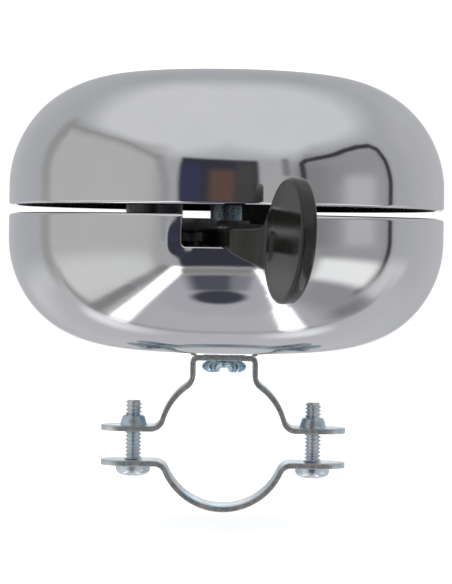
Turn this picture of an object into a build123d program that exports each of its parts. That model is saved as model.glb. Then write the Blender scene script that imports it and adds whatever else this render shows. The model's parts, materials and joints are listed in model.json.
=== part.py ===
from build123d import *
import os
from math import acos, asin, atan2, cos, degrees, hypot, pi, radians, sin, sqrt, tan

# Two-cup bicycle bell. Millimetres.
# +Z runs up the bell's axis, +Y along the handlebar, and the thumb lever points to -Y.
# The origin is the centre of the handlebar bore in the lower clamp strap.

# Cups
CUP_RADIUS = 40.0
SHEET = 1.0
UPPER_HEIGHT = 25.7
LOWER_HEIGHT = 25.6
RIM_GAP = 1.4
UPPER_SHOULDER, UPPER_CROWN = 20.9, 167.0
LOWER_SHOULDER, LOWER_CROWN = 20.4, 225.0
RIM_OUTER_ROUND, RIM_INNER_ROUND = 0.7, 0.2
SEAT_RADIUS = 7.5

# Handlebar clamp
BAR_RADIUS = 11.1
STRAP = 1.0
STRAP_WIDTH = 8.0
CLAMP_OPEN = 1.5
TAB_TIP = 22.6
LOWER_TAB_Z = -3.4
UPPER_TAB_Z = 3.0
CUP_SEAT_Z = 16.7
STEM_HALF_WIDTH = 5.75
TAB_BEND, TOP_BEND, STEM_BEND = 2.2, 1.0, 2.4

# Clamp screws
SCREW_X = 16.6
SCREW_RADIUS = 1.55
SCREW_LENGTH = 12.0
HEAD_RADIUS, HEAD_HEIGHT = 3.18, 2.05
COLLAR_FOOT, COLLAR_TOP, COLLAR_HEIGHT = 2.43, 1.95, 1.8
TIP_CHAMFER, HEAD_ROUND = 0.4, 1.2
RECESS_LENGTH, RECESS_WIDTH, RECESS_DEPTH = 3.4, 0.8, 1.3

# Fits
RUNNING = 0.04
SIDE_GAP = 0.05
SPRING_GAP = 0.02

# Post and its stack
POST_RADIUS = 3.0
POST_TOP = 66.0
SPACER_RADIUS = 4.2
PLATE = 1.1
PLATE_TOP = 40.8
ROTOR_LOBE, PIVOT_LOBE = 7.0, 8.5
SIDE_LOBE_CENTRE, SIDE_LOBE = (9.0, 4.0), 6.0
PLATE_TAB_CENTRE = (7.2, 9.4)
PLATE_TAB_WIDTH, PLATE_TAB_HEIGHT, PLATE_TAB_ROUND = 8.6, 4.6, 1.2
BOSS_BOTTOM, BOSS_RADIUS, BOSS_FOOT = 60.2, 6.5, 8.0
BOSS_FOOT_DEPTH = 3.2
NUT_BOTTOM, NUT_ACROSS_FLATS = 55.8, 11.0
LOCK_WASHER, LOCK_WASHER_RADIUS = 1.0, 5.2
WASHER_SPLIT, WASHER_SPLIT_LEAN = 0.5, 25.0
CUP_WASHER, CUP_WASHER_RADIUS = 1.0, 7.0
PLATE_RING, PLATE_RING_RADIUS = 0.7, 4.4
FLARE_HEIGHT, FLARE_CORE, FLARE_BORE = 2.2, 2.6, 1.6
PETAL_RADIUS, PETAL_OFFSET = 1.75, 2.45

# Lever and gears
LEVER_PIVOT = (-5.0, -13.5)
PIVOT_RADIUS = 2.0
LEVER_TRAVEL = 13.5
MODULE = 0.7
PINION_TEETH = 12
SECTOR_TEETH = 48
CENTRES_ANGLE = 113.9
PRESSURE_ANGLE = 20.0
BACKLASH = 0.16
SECTOR_RIM = 2.6
SECTOR_START, SECTOR_SPAN = -1.6, 5.2
ARM_BOTTOM, ARM = 37.6, 1.5
ARM_HUB_RADIUS, ARM_ROOT_WIDTH, TONGUE_WIDTH = 5.2, 5.6, 2.6
ARM_ROOT_LENGTH, TONGUE_LENGTH = 8.6, 21.0
WALL_POINT = (1.5, -40.5)
NECK_WIDTH, NECK_BOTTOM, NECK_TOP = 4.0, 37.0, 39.8
PADDLE_CENTRE = (10.2, -58.0, 37.9)
PADDLE_RADIUS, PADDLE, PADDLE_ROUND = 10.15, 2.6, 0.7
PADDLE_TURN, PADDLE_LEAN = 16.0, 3.8
NECK_END_DISTANCE, NECK_END_HEIGHT = 7.0, 10.0
TANG_START = 12.0
RIVET_DISTANCES = (14.6, 19.0)
RIVET_RADIUS, RIVET_HEAD, RIVET_HEAD_RADIUS = 0.8, 0.4, 1.3
WEB_WIDTH = 7.0

# Lever hinge, return spring and stop
PIVOT_END = 33.2
PIN_HEAD, PIN_HEAD_RADIUS = 0.9, 3.2
PIVOT_WASHER_RADIUS, PIVOT_CLIP_RADIUS = 3.6, 3.4
CLIP_BOTTOM, CLIP_TOP, GROOVE_RADIUS = 33.8, 34.4, 1.5
SPRING_RADIUS, WIRE = 3.0, 0.35
SPRING_BOTTOM, SPRING_PITCH = 34.8, 0.88
FIXED_LEG, MOVING_LEG = 3.0, 10.0
PEG_RADIUS, PEG_DISTANCE, PEG_BOTTOM = 0.8, 8.0, 35.6
STOP_PEG_RADIUS, BUMPER_RADIUS, STOP_DISTANCE = 0.8, 1.5, 8.0
STOP_PEG_BOTTOM, BUMPER_BOTTOM = 36.9, 37.2
STOP_PEG_HEAD, STOP_PEG_HEAD_RADIUS = 0.5, 1.3

# Lever window in the lower cup's rim
WINDOW_HALF_WIDTH, WINDOW_BOTTOM, WINDOW_CORNER = 7.4, 36.7, 0.6

# Rotor and strikers
SHAFT_RADIUS = 1.5
BUSH_RADIUS, BUSH_FLANGE_RADIUS = 2.6, 4.0
PINION_BOTTOM, PINION_TOP = 36.1, 39.4
UPPER_ARM_BOTTOM = 45.0
HAMMER_SHEET = 1.5
HAMMER_WIDTH, HAMMER_HUB_RADIUS = 6.0, 4.6
HUB_RADIUS = 5.3
ROTOR_CLIP, ROTOR_CLIP_RADIUS, ROTOR_GROOVE_RADIUS = 0.7, 2.8, 1.1
SHAFT_HEAD, SHAFT_HEAD_RADIUS = 0.8, 2.5
HAMMER_REACH = 16.5
UPPER_HAMMER_ANGLE, LOWER_HAMMER_ANGLE = 116.0, 150.0
STRIKER_RADIUS, STRIKER_BORE, STRIKER, STRIKER_ROUND = 5.5, 2.6, 3.4, 0.6
STRIKER_PIN_RADIUS, STRIKER_PIN_HEAD, STRIKER_PIN_HEAD_RADIUS = 1.4, 0.8, 3.3
STUD_RADIUS, STUD_TIP_R = 1.5, 33.0
STRIKE_GAP = 0.4
STRIKER_PLAY = 0.3

# Worked-out sizes
LOWER_RIM_Z = CUP_SEAT_Z + LOWER_HEIGHT
UPPER_RIM_Z = LOWER_RIM_Z + RIM_GAP
TOP_Z = UPPER_RIM_Z + UPPER_HEIGHT
PINION_PITCH_R = MODULE * PINION_TEETH / 2
SECTOR_PITCH_R = MODULE * SECTOR_TEETH / 2
ROTOR_TURN = LEVER_TRAVEL * SECTOR_TEETH / PINION_TEETH
STRAP_UNDERSIDE = CUP_SEAT_Z - STRAP
LOWER_ARM_TOP = PINION_BOTTOM
HUB_BOTTOM = PLATE_TOP + 0.9
SHAFT_BOTTOM = LOWER_ARM_TOP - HAMMER_SHEET - ROTOR_CLIP - 0.5


def along(start, angle, distance):
    """The point at a distance from start, at an angle in degrees about Z."""
    return (start[0] + distance * cos(radians(angle)), start[1] + distance * sin(radians(angle)))


def heading(start, end):
    """The angle in degrees about Z of the line from start to end."""
    return degrees(atan2(end[1] - start[1], end[0] - start[0]))


def rod(centre, radius, bottom, top):
    """An upright round bar."""
    return Pos(centre[0], centre[1], bottom) * extrude(Circle(radius), top - bottom)


def ring(centre, outer, inner, bottom, top):
    """An upright tube or washer."""
    return rod(centre, outer, bottom, top) - rod(centre, inner, bottom, top)


def link(start, end, width, bottom, top):
    """A flat bar with round ends, from one point to another."""
    length = hypot(end[0] - start[0], end[1] - start[1])
    middle = ((start[0] + end[0]) / 2, (start[1] + end[1]) / 2)
    outline = SlotCenterToCenter(length, width)
    return Pos(middle[0], middle[1], bottom) * Rot(0, 0, heading(start, end)) * extrude(outline, top - bottom)


# Places worked out in plan
AXIS = (0.0, 0.0)
ROTOR = along(LEVER_PIVOT, CENTRES_ANGLE, SECTOR_PITCH_R + PINION_PITCH_R)
ARM_HEADING = heading(LEVER_PIVOT, WALL_POINT)
WALL_DISTANCE = hypot(WALL_POINT[0] - LEVER_PIVOT[0], WALL_POINT[1] - LEVER_PIVOT[1])
WEB_ANGLE = CENTRES_ANGLE + 360 / SECTOR_TEETH
STOP_SIDE = WEB_WIDTH / 2 + BUMPER_RADIUS + SIDE_GAP
STOP = along(along(LEVER_PIVOT, WEB_ANGLE, STOP_DISTANCE), WEB_ANGLE + 90, STOP_SIDE)
PEG_SIDE = SPRING_RADIUS - WIRE - PEG_RADIUS - SPRING_GAP
PEG = along(along(LEVER_PIVOT, ARM_HEADING, PEG_DISTANCE), ARM_HEADING - 90, PEG_SIDE)


# ---------------------------------------------------------------- cups

def cup(height, shoulder, crown):
    """A dome of one sheet thickness, its rim at Z = 0 and its crown at Z = height."""
    shoulder_r = CUP_RADIUS - shoulder
    crown_z = height - crown
    shoulder_z = crown_z + sqrt((crown - shoulder) ** 2 - shoulder_r**2)
    tangent = atan2(shoulder_z - crown_z, shoulder_r)

    def point(centre, radius, angle):
        return (centre[0] + radius * cos(angle), centre[1] + radius * sin(angle))

    def edges(inset):
        wall = CUP_RADIUS - inset
        side = (shoulder_r, shoulder_z)
        low = (wall, shoulder_z)
        bend = point(side, shoulder - inset, tangent / 2)
        join = point(side, shoulder - inset, tangent)
        arch = point((0, crown_z), crown - inset, (tangent + pi / 2) / 2)
        top = (0, height - inset)
        return [Line((wall, 0), low), ThreePointArc(low, bend, join), ThreePointArc(join, arch, top)]

    outline = edges(0) + edges(SHEET)
    outline.append(Line((CUP_RADIUS, 0), (CUP_RADIUS - SHEET, 0)))
    outline.append(Line((0, height), (0, height - SHEET)))
    profile = Plane.XZ * make_face(outline)
    shell = revolve(profile, Axis.Z)
    rim = shell.edges().filter_by(GeomType.CIRCLE).group_by(Axis.Z)[0].sort_by(SortBy.RADIUS)
    shell = fillet(rim[-1], RIM_OUTER_ROUND)
    rim = shell.edges().filter_by(GeomType.CIRCLE).group_by(Axis.Z)[0].sort_by(SortBy.RADIUS)
    return fillet(rim[0], RIM_INNER_ROUND)


def make_upper_cup():
    return Pos(0, 0, UPPER_RIM_Z) * cup(UPPER_HEIGHT, UPPER_SHOULDER, UPPER_CROWN)


def make_lower_cup():
    shell = Pos(0, 0, LOWER_RIM_Z) * Rot(180, 0, 0) * cup(LOWER_HEIGHT, LOWER_SHOULDER, LOWER_CROWN)
    seat = rod(AXIS, SEAT_RADIUS, CUP_SEAT_Z, CUP_SEAT_Z + SHEET)
    above_seat = rod(AXIS, SEAT_RADIUS, CUP_SEAT_Z + SHEET, CUP_SEAT_Z + 2 * SHEET)
    shell = shell + seat - above_seat - rod(AXIS, POST_RADIUS, CUP_SEAT_Z - 1, CUP_SEAT_Z + 2 * SHEET)
    depth = LOWER_RIM_Z - WINDOW_BOTTOM
    opening = fillet(Rectangle(2 * WINDOW_HALF_WIDTH, 2 * depth).vertices(), WINDOW_CORNER)
    opening = Pos(0, 0, LOWER_RIM_Z) * (Plane.XZ * opening)
    return shell - Pos(0, -CUP_RADIUS / 2, 0) * extrude(opening, CUP_RADIUS)


def make_boss(upper_cup):
    """The threaded boss welded under the crown."""
    inside_sheet = TOP_Z - SHEET / 2
    body = rod(AXIS, BOSS_RADIUS, BOSS_BOTTOM, inside_sheet)
    body = body + rod(AXIS, BOSS_FOOT, TOP_Z - BOSS_FOOT_DEPTH, inside_sheet)
    return body - upper_cup - rod(AXIS, POST_RADIUS, BOSS_BOTTOM, POST_TOP)


# ---------------------------------------------------------------- post and plate

def make_centre_post():
    """A solid post whose hollow lower end is burst into four petals under the clamp strap."""
    post = rod(AXIS, POST_RADIUS, STRAP_UNDERSIDE, POST_TOP)
    flare_bottom = STRAP_UNDERSIDE - FLARE_HEIGHT
    for quarter in range(4):
        centre = along(AXIS, 90 * quarter, PETAL_OFFSET)
        post = post + rod(centre, PETAL_RADIUS, flare_bottom, STRAP_UNDERSIDE)
    post = post + rod(AXIS, FLARE_CORE, flare_bottom + 0.5, STRAP_UNDERSIDE)
    return post - rod(AXIS, FLARE_BORE, flare_bottom, STRAP_UNDERSIDE + 2 * FLARE_HEIGHT)


def make_post_nut():
    corner_radius = NUT_ACROSS_FLATS / 2 / cos(pi / 6)
    height = BOSS_BOTTOM - LOCK_WASHER - NUT_BOTTOM
    nut = Pos(0, 0, NUT_BOTTOM) * extrude(RegularPolygon(corner_radius, 6), height)
    return nut - rod(AXIS, POST_RADIUS, NUT_BOTTOM, BOSS_BOTTOM)


def make_lock_washer():
    """A split spring washer between the nut and the boss."""
    washer = ring(AXIS, LOCK_WASHER_RADIUS, POST_RADIUS, BOSS_BOTTOM - LOCK_WASHER, BOSS_BOTTOM)
    split_x = (LOCK_WASHER_RADIUS + POST_RADIUS) / 2
    cutter = Box(LOCK_WASHER_RADIUS - POST_RADIUS + 1, WASHER_SPLIT, 3 * LOCK_WASHER)
    split = Pos(split_x, 0, BOSS_BOTTOM - LOCK_WASHER / 2) * Rot(WASHER_SPLIT_LEAN, 0, 0) * cutter
    return washer - split


def make_mechanism_plate():
    """The plate that carries the lever and the rotor, with one turned-up stiffening tab."""
    lobes = [(ROTOR, ROTOR_LOBE), (LEVER_PIVOT, PIVOT_LOBE), (SIDE_LOBE_CENTRE, SIDE_LOBE)]
    circles = []
    for centre, radius in lobes:
        circles.append(Pos(centre[0], centre[1]) * CenterArc((0, 0), radius, 0, 360))
    outline = make_hull([edge for circle in circles for edge in circle.edges()])
    plate = Pos(0, 0, PLATE_TOP - PLATE) * extrude(outline, PLATE)
    tab = Box(PLATE_TAB_WIDTH, PLATE, PLATE_TAB_HEIGHT, align=(Align.CENTER, Align.CENTER, Align.MIN))
    tab_top = tab.edges().filter_by(Axis.Y).group_by(Axis.Z)[-1]
    plate = plate + Pos(*PLATE_TAB_CENTRE, PLATE_TOP) * fillet(tab_top, PLATE_TAB_ROUND)
    holes = [(AXIS, POST_RADIUS), (LEVER_PIVOT, PIVOT_RADIUS), (ROTOR, BUSH_RADIUS), (STOP, STOP_PEG_RADIUS)]
    for centre, radius in holes:
        plate = plate - rod(centre, radius, PLATE_TOP - PLATE, PLATE_TOP)
    return plate


# ---------------------------------------------------------------- gears

def involute(angle):
    return tan(angle) - angle


def tooth(pitch_radius, teeth, addendum, root_radius, angle):
    """One gear tooth about the origin, with involute flanks, centred on an angle in degrees."""
    pressure = radians(PRESSURE_ANGLE)
    base_radius = pitch_radius * cos(pressure)
    thickness = pi * pitch_radius / teeth - BACKLASH / 2

    def half_angle(radius):
        turned = acos(min(1.0, base_radius / radius))
        return degrees(thickness / (2 * pitch_radius) + involute(pressure) - involute(turned))

    foot = max(base_radius, root_radius)
    tip = pitch_radius + addendum
    levels = [foot, (foot + tip) / 2, tip]
    right = [along(AXIS, angle - half_angle(radius), radius) for radius in levels]
    left = [along(AXIS, angle + half_angle(radius), radius) for radius in levels]
    buried = root_radius - 0.3
    right_root = along(AXIS, angle - half_angle(foot), buried)
    left_root = along(AXIS, angle + half_angle(foot), buried)
    return make_face(
        [
            Line(right_root, right[0]),
            ThreePointArc(*right),
            ThreePointArc(right[2], along(AXIS, angle, tip), left[2]),
            ThreePointArc(*reversed(left)),
            Line(left[0], left_root),
            Line(left_root, right_root),
        ]
    )


def make_pinion():
    """The rotor's gear: it has a gap where the line of centres meets it, for the sector's tooth."""
    root_radius = PINION_PITCH_R - 1.25 * MODULE
    pitch_angle = 360 / PINION_TEETH
    first = CENTRES_ANGLE + 180 + pitch_angle / 2
    gear = Circle(root_radius)
    for index in range(PINION_TEETH):
        gear = gear + tooth(PINION_PITCH_R, PINION_TEETH, MODULE, root_radius, first + index * pitch_angle)
    body = Pos(ROTOR[0], ROTOR[1], PINION_BOTTOM) * extrude(gear, PINION_TOP - PINION_BOTTOM)
    return body - rod(ROTOR, SHAFT_RADIUS, PINION_BOTTOM, PINION_TOP)


def make_lever_arm():
    """The steel arm: hub, toothed sector on one side and a straight tongue on the other."""
    top = ARM_BOTTOM + ARM
    root_radius = SECTOR_PITCH_R - 1.25 * MODULE
    sector_pitch = 360 / SECTOR_TEETH
    rim_start = CENTRES_ANGLE + SECTOR_START * sector_pitch
    rim_turn = SECTOR_SPAN * sector_pitch
    inner_radius = root_radius - SECTOR_RIM
    rim_end = rim_start + rim_turn
    outline = make_face(
        [
            CenterArc(AXIS, root_radius, rim_start, rim_turn),
            Line(along(AXIS, rim_end, root_radius), along(AXIS, rim_end, inner_radius)),
            CenterArc(AXIS, inner_radius, rim_start, rim_turn),
            Line(along(AXIS, rim_start, inner_radius), along(AXIS, rim_start, root_radius)),
        ]
    )
    for index in range(-1, 4):
        angle = CENTRES_ANGLE + index * sector_pitch
        outline = outline + tooth(SECTOR_PITCH_R, SECTOR_TEETH, 0.7 * MODULE, root_radius, angle)
    arm = Pos(LEVER_PIVOT[0], LEVER_PIVOT[1], ARM_BOTTOM) * extrude(outline, ARM)
    web_end = along(LEVER_PIVOT, WEB_ANGLE, inner_radius - WEB_WIDTH / 2 + 1.2)
    arm = arm + link(LEVER_PIVOT, web_end, WEB_WIDTH, ARM_BOTTOM, top)
    arm = arm + rod(LEVER_PIVOT, ARM_HUB_RADIUS, ARM_BOTTOM, top)
    root_end = along(LEVER_PIVOT, ARM_HEADING, ARM_ROOT_LENGTH)
    tongue_end = along(LEVER_PIVOT, ARM_HEADING, TONGUE_LENGTH)
    arm = arm + link(LEVER_PIVOT, root_end, ARM_ROOT_WIDTH, ARM_BOTTOM, top)
    arm = arm + link(LEVER_PIVOT, tongue_end, TONGUE_WIDTH, ARM_BOTTOM, top)
    arm = arm - rod(LEVER_PIVOT, PIVOT_RADIUS + RUNNING, ARM_BOTTOM, top)
    arm = arm - rod(PEG, PEG_RADIUS, ARM_BOTTOM, top)
    for distance in RIVET_DISTANCES:
        arm = arm - rod(along(LEVER_PIVOT, ARM_HEADING, distance), RIVET_RADIUS, ARM_BOTTOM, top)
    return arm


def make_thumb_lever(lever_arm):
    """The moulded lever: a tang round the steel tongue, a flaring neck and a round paddle."""
    tang_centre = along(LEVER_PIVOT, ARM_HEADING, (TANG_START + WALL_DISTANCE) / 2)
    tang_length = WALL_DISTANCE - TANG_START
    height = NECK_TOP - NECK_BOTTOM
    middle_z = (NECK_TOP + NECK_BOTTOM) / 2
    tang = Rot(0, 0, ARM_HEADING) * Box(tang_length, NECK_WIDTH, height)
    tang = Pos(tang_centre[0], tang_centre[1], middle_z) * tang
    paddle_heading = PADDLE_TURN - 90
    neck_end = along(PADDLE_CENTRE, paddle_heading + 180, NECK_END_DISTANCE)
    wall_plane = Plane(
        origin=(WALL_POINT[0], WALL_POINT[1], middle_z),
        x_dir=(-sin(radians(ARM_HEADING)), cos(radians(ARM_HEADING)), 0),
        z_dir=(cos(radians(ARM_HEADING)), sin(radians(ARM_HEADING)), 0),
    )
    paddle_plane = Plane(
        origin=(neck_end[0], neck_end[1], PADDLE_CENTRE[2]),
        x_dir=(-sin(radians(paddle_heading)), cos(radians(paddle_heading)), 0),
        z_dir=(cos(radians(paddle_heading)), sin(radians(paddle_heading)), 0),
    )
    neck_end_section = Rot(0, 0, -PADDLE_LEAN) * Rectangle(PADDLE, NECK_END_HEIGHT)
    neck = loft([wall_plane * Rectangle(NECK_WIDTH, height), paddle_plane * neck_end_section])
    disc = Cylinder(PADDLE_RADIUS, PADDLE)
    disc = fillet(disc.edges().filter_by(GeomType.CIRCLE), PADDLE_ROUND)
    disc = Pos(*PADDLE_CENTRE) * Rot(0, 0, paddle_heading) * Rot(90 - PADDLE_LEAN, 0, 0) * disc
    lever = tang + neck + disc - lever_arm
    for distance in RIVET_DISTANCES:
        lever = lever - rod(along(LEVER_PIVOT, ARM_HEADING, distance), RIVET_RADIUS, NECK_BOTTOM, NECK_TOP)
    return lever


def make_lever_rivets():
    """Two rivets through the moulded tang and the steel tongue."""
    rivets = []
    for distance in RIVET_DISTANCES:
        centre = along(LEVER_PIVOT, ARM_HEADING, distance)
        rivet = rod(centre, RIVET_RADIUS, NECK_BOTTOM, NECK_TOP)
        for face in (NECK_BOTTOM - RIVET_HEAD, NECK_TOP):
            rivet = rivet + rod(centre, RIVET_HEAD_RADIUS, face, face + RIVET_HEAD)
        rivets.append(rivet)
    return Compound(children=rivets)


# ---------------------------------------------------------------- lever hinge and spring

def make_lever_pivot_pin():
    """Riveted into the plate, with a flat head above it and a groove near the lower end."""
    pin = rod(LEVER_PIVOT, PIVOT_RADIUS, PIVOT_END, PLATE_TOP)
    pin = pin + rod(LEVER_PIVOT, PIN_HEAD_RADIUS, PLATE_TOP, PLATE_TOP + PIN_HEAD)
    return pin - ring(LEVER_PIVOT, PIVOT_RADIUS, GROOVE_RADIUS, CLIP_BOTTOM, CLIP_TOP)


def clip(centre, groove_radius, outer, bottom, top, angle):
    """An open retaining clip pushed into a groove from one side."""
    washer = ring(centre, outer, groove_radius, bottom, top)
    mouth = link(centre, along(centre, angle, 2 * outer), 1.5 * groove_radius, bottom, top)
    return washer - mouth


def make_return_spring():
    """Three turns round the pivot pin: one leg bears on the spacer, the other on the lever's peg."""
    reach = hypot(*LEVER_PIVOT)
    bar_radius = SPACER_RADIUS + WIRE + SPRING_GAP
    fixed_angle = heading(LEVER_PIVOT, AXIS) + 90 + degrees(asin((bar_radius - SPRING_RADIUS) / reach))
    moving_angle = ARM_HEADING - 90
    turned = (moving_angle - fixed_angle) % 360 + 2 * 360
    height = SPRING_PITCH * turned / 360
    top_z = SPRING_BOTTOM + height
    helix = Helix(SPRING_PITCH, height, SPRING_RADIUS)
    wire = sweep(Plane(origin=helix @ 0, z_dir=helix % 0) * Circle(WIRE), path=helix)
    coil = Pos(LEVER_PIVOT[0], LEVER_PIVOT[1], SPRING_BOTTOM) * Rot(0, 0, fixed_angle) * wire

    def leg(start, end, z):
        length = hypot(end[0] - start[0], end[1] - start[1])
        bar = Pos(start[0], start[1], z) * Rot(0, 0, heading(start, end)) * Rot(0, 90, 0)
        return bar * extrude(Circle(WIRE), length)

    fixed_start = along(LEVER_PIVOT, fixed_angle, SPRING_RADIUS)
    fixed_end = along(along(AXIS, fixed_angle, bar_radius), fixed_angle - 90, FIXED_LEG)
    moving_start = along(LEVER_PIVOT, moving_angle, SPRING_RADIUS)
    moving_end = along(moving_start, ARM_HEADING, MOVING_LEG)
    return coil + leg(fixed_start, fixed_end, SPRING_BOTTOM) + leg(moving_start, moving_end, top_z)


def make_spring_peg():
    """The peg in the lever arm that the spring's leg pushes."""
    return rod(PEG, PEG_RADIUS, PEG_BOTTOM, ARM_BOTTOM + ARM)


# ---------------------------------------------------------------- rotor

def make_rotor_shaft():
    top = UPPER_ARM_BOTTOM + HAMMER_SHEET
    shaft = rod(ROTOR, SHAFT_RADIUS, SHAFT_BOTTOM, top)
    shaft = shaft + rod(ROTOR, SHAFT_HEAD_RADIUS, top, top + SHAFT_HEAD)
    clip_bottom = LOWER_ARM_TOP - HAMMER_SHEET - ROTOR_CLIP
    return shaft - ring(ROTOR, SHAFT_RADIUS, ROTOR_GROOVE_RADIUS, clip_bottom, clip_bottom + ROTOR_CLIP)


def make_rotor_bush():
    """A flanged bush pressed into the plate; the shaft turns in it."""
    bush = rod(ROTOR, BUSH_RADIUS, PLATE_TOP - PLATE, PLATE_TOP)
    bush = bush + rod(ROTOR, BUSH_FLANGE_RADIUS, PLATE_TOP, HUB_BOTTOM - SIDE_GAP)
    return bush - rod(ROTOR, SHAFT_RADIUS + RUNNING, PLATE_TOP - PLATE, HUB_BOTTOM)


def hammer(angle, bottom):
    """A flat arm on the rotor shaft, with a hole for the striker's pin."""
    end = along(ROTOR, angle, HAMMER_REACH)
    top = bottom + HAMMER_SHEET
    bar = link(ROTOR, end, HAMMER_WIDTH, bottom, top) + rod(ROTOR, HAMMER_HUB_RADIUS, bottom, top)
    return bar - rod(ROTOR, SHAFT_RADIUS, bottom, top) - rod(end, STRIKER_PIN_RADIUS, bottom, top)


def striker_pin(angle, face, side):
    """A headed pin; side is +1 for a ring above the arm's face, -1 for a ring below it."""
    centre = along(ROTOR, angle, HAMMER_REACH)
    shank_end = face + side * (STRIKER + 2 * STRIKER_PLAY)
    low, high = sorted((face - side * HAMMER_SHEET, shank_end))
    pin = rod(centre, STRIKER_PIN_RADIUS, low, high)
    low, high = sorted((shank_end, shank_end + side * STRIKER_PIN_HEAD))
    return pin + rod(centre, STRIKER_PIN_HEAD_RADIUS, low, high)


def striker(angle, face, side):
    """The loose ring on the pin."""
    centre = along(ROTOR, angle, HAMMER_REACH)
    low, high = sorted((face + side * STRIKER_PLAY, face + side * (STRIKER_PLAY + STRIKER)))
    body = ring(centre, STRIKER_RADIUS, STRIKER_BORE, low, high)
    outside = body.edges().filter_by(GeomType.CIRCLE).filter_by(lambda edge: edge.radius > STRIKER_BORE)
    return fillet(outside, STRIKER_ROUND)


def strike_stud(struck_angle, side, z, wall):
    """A stud standing in from a cup's wall, just past where the ring stops."""
    ring_centre = along(ROTOR, struck_angle, HAMMER_REACH)
    centre_r = hypot(*ring_centre)
    past_centre = max(0.0, STUD_TIP_R - centre_r)
    half_chord = sqrt(STRIKER_RADIUS**2 - past_centre**2)
    offset = degrees((half_chord + STUD_RADIUS + STRIKE_GAP) / STUD_TIP_R)
    angle = heading(AXIS, ring_centre) + side * offset
    bar = extrude(Circle(STUD_RADIUS), CUP_RADIUS - SHEET / 2 - STUD_TIP_R)
    bar = Rot(0, 0, angle) * Pos(STUD_TIP_R, 0, z) * Rot(0, 90, 0) * bar
    return (bar - wall).solids().sort_by(SortBy.VOLUME)[-1]


# ---------------------------------------------------------------- clamp

def nearest(path, point):
    """The vertex of a path nearest to a point."""
    return path.vertices().sort_by_distance(point)[0]


def make_lower_strap():
    radius = BAR_RADIUS + STRAP / 2
    side = sqrt(radius**2 - LOWER_TAB_Z**2)
    left, right = (-side, LOWER_TAB_Z), (side, LOWER_TAB_Z)
    line = Wire(
        [
            Line((-TAB_TIP, LOWER_TAB_Z), left).edge(),
            ThreePointArc(left, (0, -radius), right).edge(),
            Line(right, (TAB_TIP, LOWER_TAB_Z)).edge(),
        ]
    )
    return finish_strap(line, [(left, TAB_BEND), (right, TAB_BEND)], SCREW_RADIUS + 0.15)


def make_upper_strap():
    radius = BAR_RADIUS + STRAP / 2
    tab_rise = UPPER_TAB_Z - CLAMP_OPEN
    side = sqrt(radius**2 - tab_rise**2)
    shoulder_z = CLAMP_OPEN + sqrt(radius**2 - STEM_HALF_WIDTH**2)
    top = CUP_SEAT_Z - STRAP / 2
    middle = radians(55)
    edges = []
    bends = [((-STEM_HALF_WIDTH, top), TOP_BEND), ((STEM_HALF_WIDTH, top), TOP_BEND)]
    for hand in (-1, 1):
        tab = (hand * side, UPPER_TAB_Z)
        shoulder = (hand * STEM_HALF_WIDTH, shoulder_z)
        between = (hand * radius * sin(middle), CLAMP_OPEN + radius * cos(middle))
        edges.append(Line((hand * TAB_TIP, UPPER_TAB_Z), tab).edge())
        edges.append(ThreePointArc(tab, between, shoulder).edge())
        edges.append(Line(shoulder, (hand * STEM_HALF_WIDTH, top)).edge())
        bends += [(tab, TAB_BEND), (shoulder, STEM_BEND)]
    edges.append(Line((-STEM_HALF_WIDTH, top), (STEM_HALF_WIDTH, top)).edge())
    body = finish_strap(Wire(edges), bends, SCREW_RADIUS + SIDE_GAP)
    for hand in (-1, 1):
        foot = UPPER_TAB_Z + STRAP / 2
        collar = Cone(COLLAR_FOOT, COLLAR_TOP, COLLAR_HEIGHT)
        body = body + Pos(hand * SCREW_X, 0, foot + COLLAR_HEIGHT / 2) * collar
        body = body - rod((hand * SCREW_X, 0), SCREW_RADIUS + SIDE_GAP, foot - 2, foot + COLLAR_HEIGHT)
    return body - rod(AXIS, POST_RADIUS, CUP_SEAT_Z - 2, CUP_SEAT_Z)


def finish_strap(line, bends, hole_radius):
    """Rounds the bends, gives the strap its thickness and width, rounds its ends and drills it."""
    for corner, radius in bends:
        line = line.fillet_2d(radius, [nearest(line, corner)])
    body = extrude(Plane.XZ * trace(line, STRAP), STRAP_WIDTH / 2, both=True)
    plan = SlotOverall(2 * TAB_TIP, STRAP_WIDTH)
    tall = 2 * CUP_SEAT_Z
    body = body & (Pos(0, 0, -tall / 2) * extrude(plan, 2 * tall))
    for hand in (-1, 1):
        body = body - rod((hand * SCREW_X, 0), hole_radius, -BAR_RADIUS, BAR_RADIUS)
    return body


def make_clamp_screw(hand):
    """A pan-head screw from below; the shank's radius is over the threads."""
    centre = (hand * SCREW_X, 0)
    under_head = LOWER_TAB_Z - STRAP / 2
    shank = rod(centre, SCREW_RADIUS, under_head, under_head + SCREW_LENGTH)
    tip = shank.edges().filter_by(GeomType.CIRCLE).group_by(Axis.Z)[-1]
    shank = chamfer(tip, TIP_CHAMFER)
    head = rod(centre, HEAD_RADIUS, under_head - HEAD_HEIGHT, under_head)
    head = fillet(head.edges().filter_by(GeomType.CIRCLE).group_by(Axis.Z)[0], HEAD_ROUND)
    recess = Box(RECESS_LENGTH, RECESS_WIDTH, RECESS_DEPTH) + Box(RECESS_WIDTH, RECESS_LENGTH, RECESS_DEPTH)
    head = head - Pos(centre[0], centre[1], under_head - HEAD_HEIGHT + RECESS_DEPTH / 2) * recess
    return shank + head


# ---------------------------------------------------------------- all nodes

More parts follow.
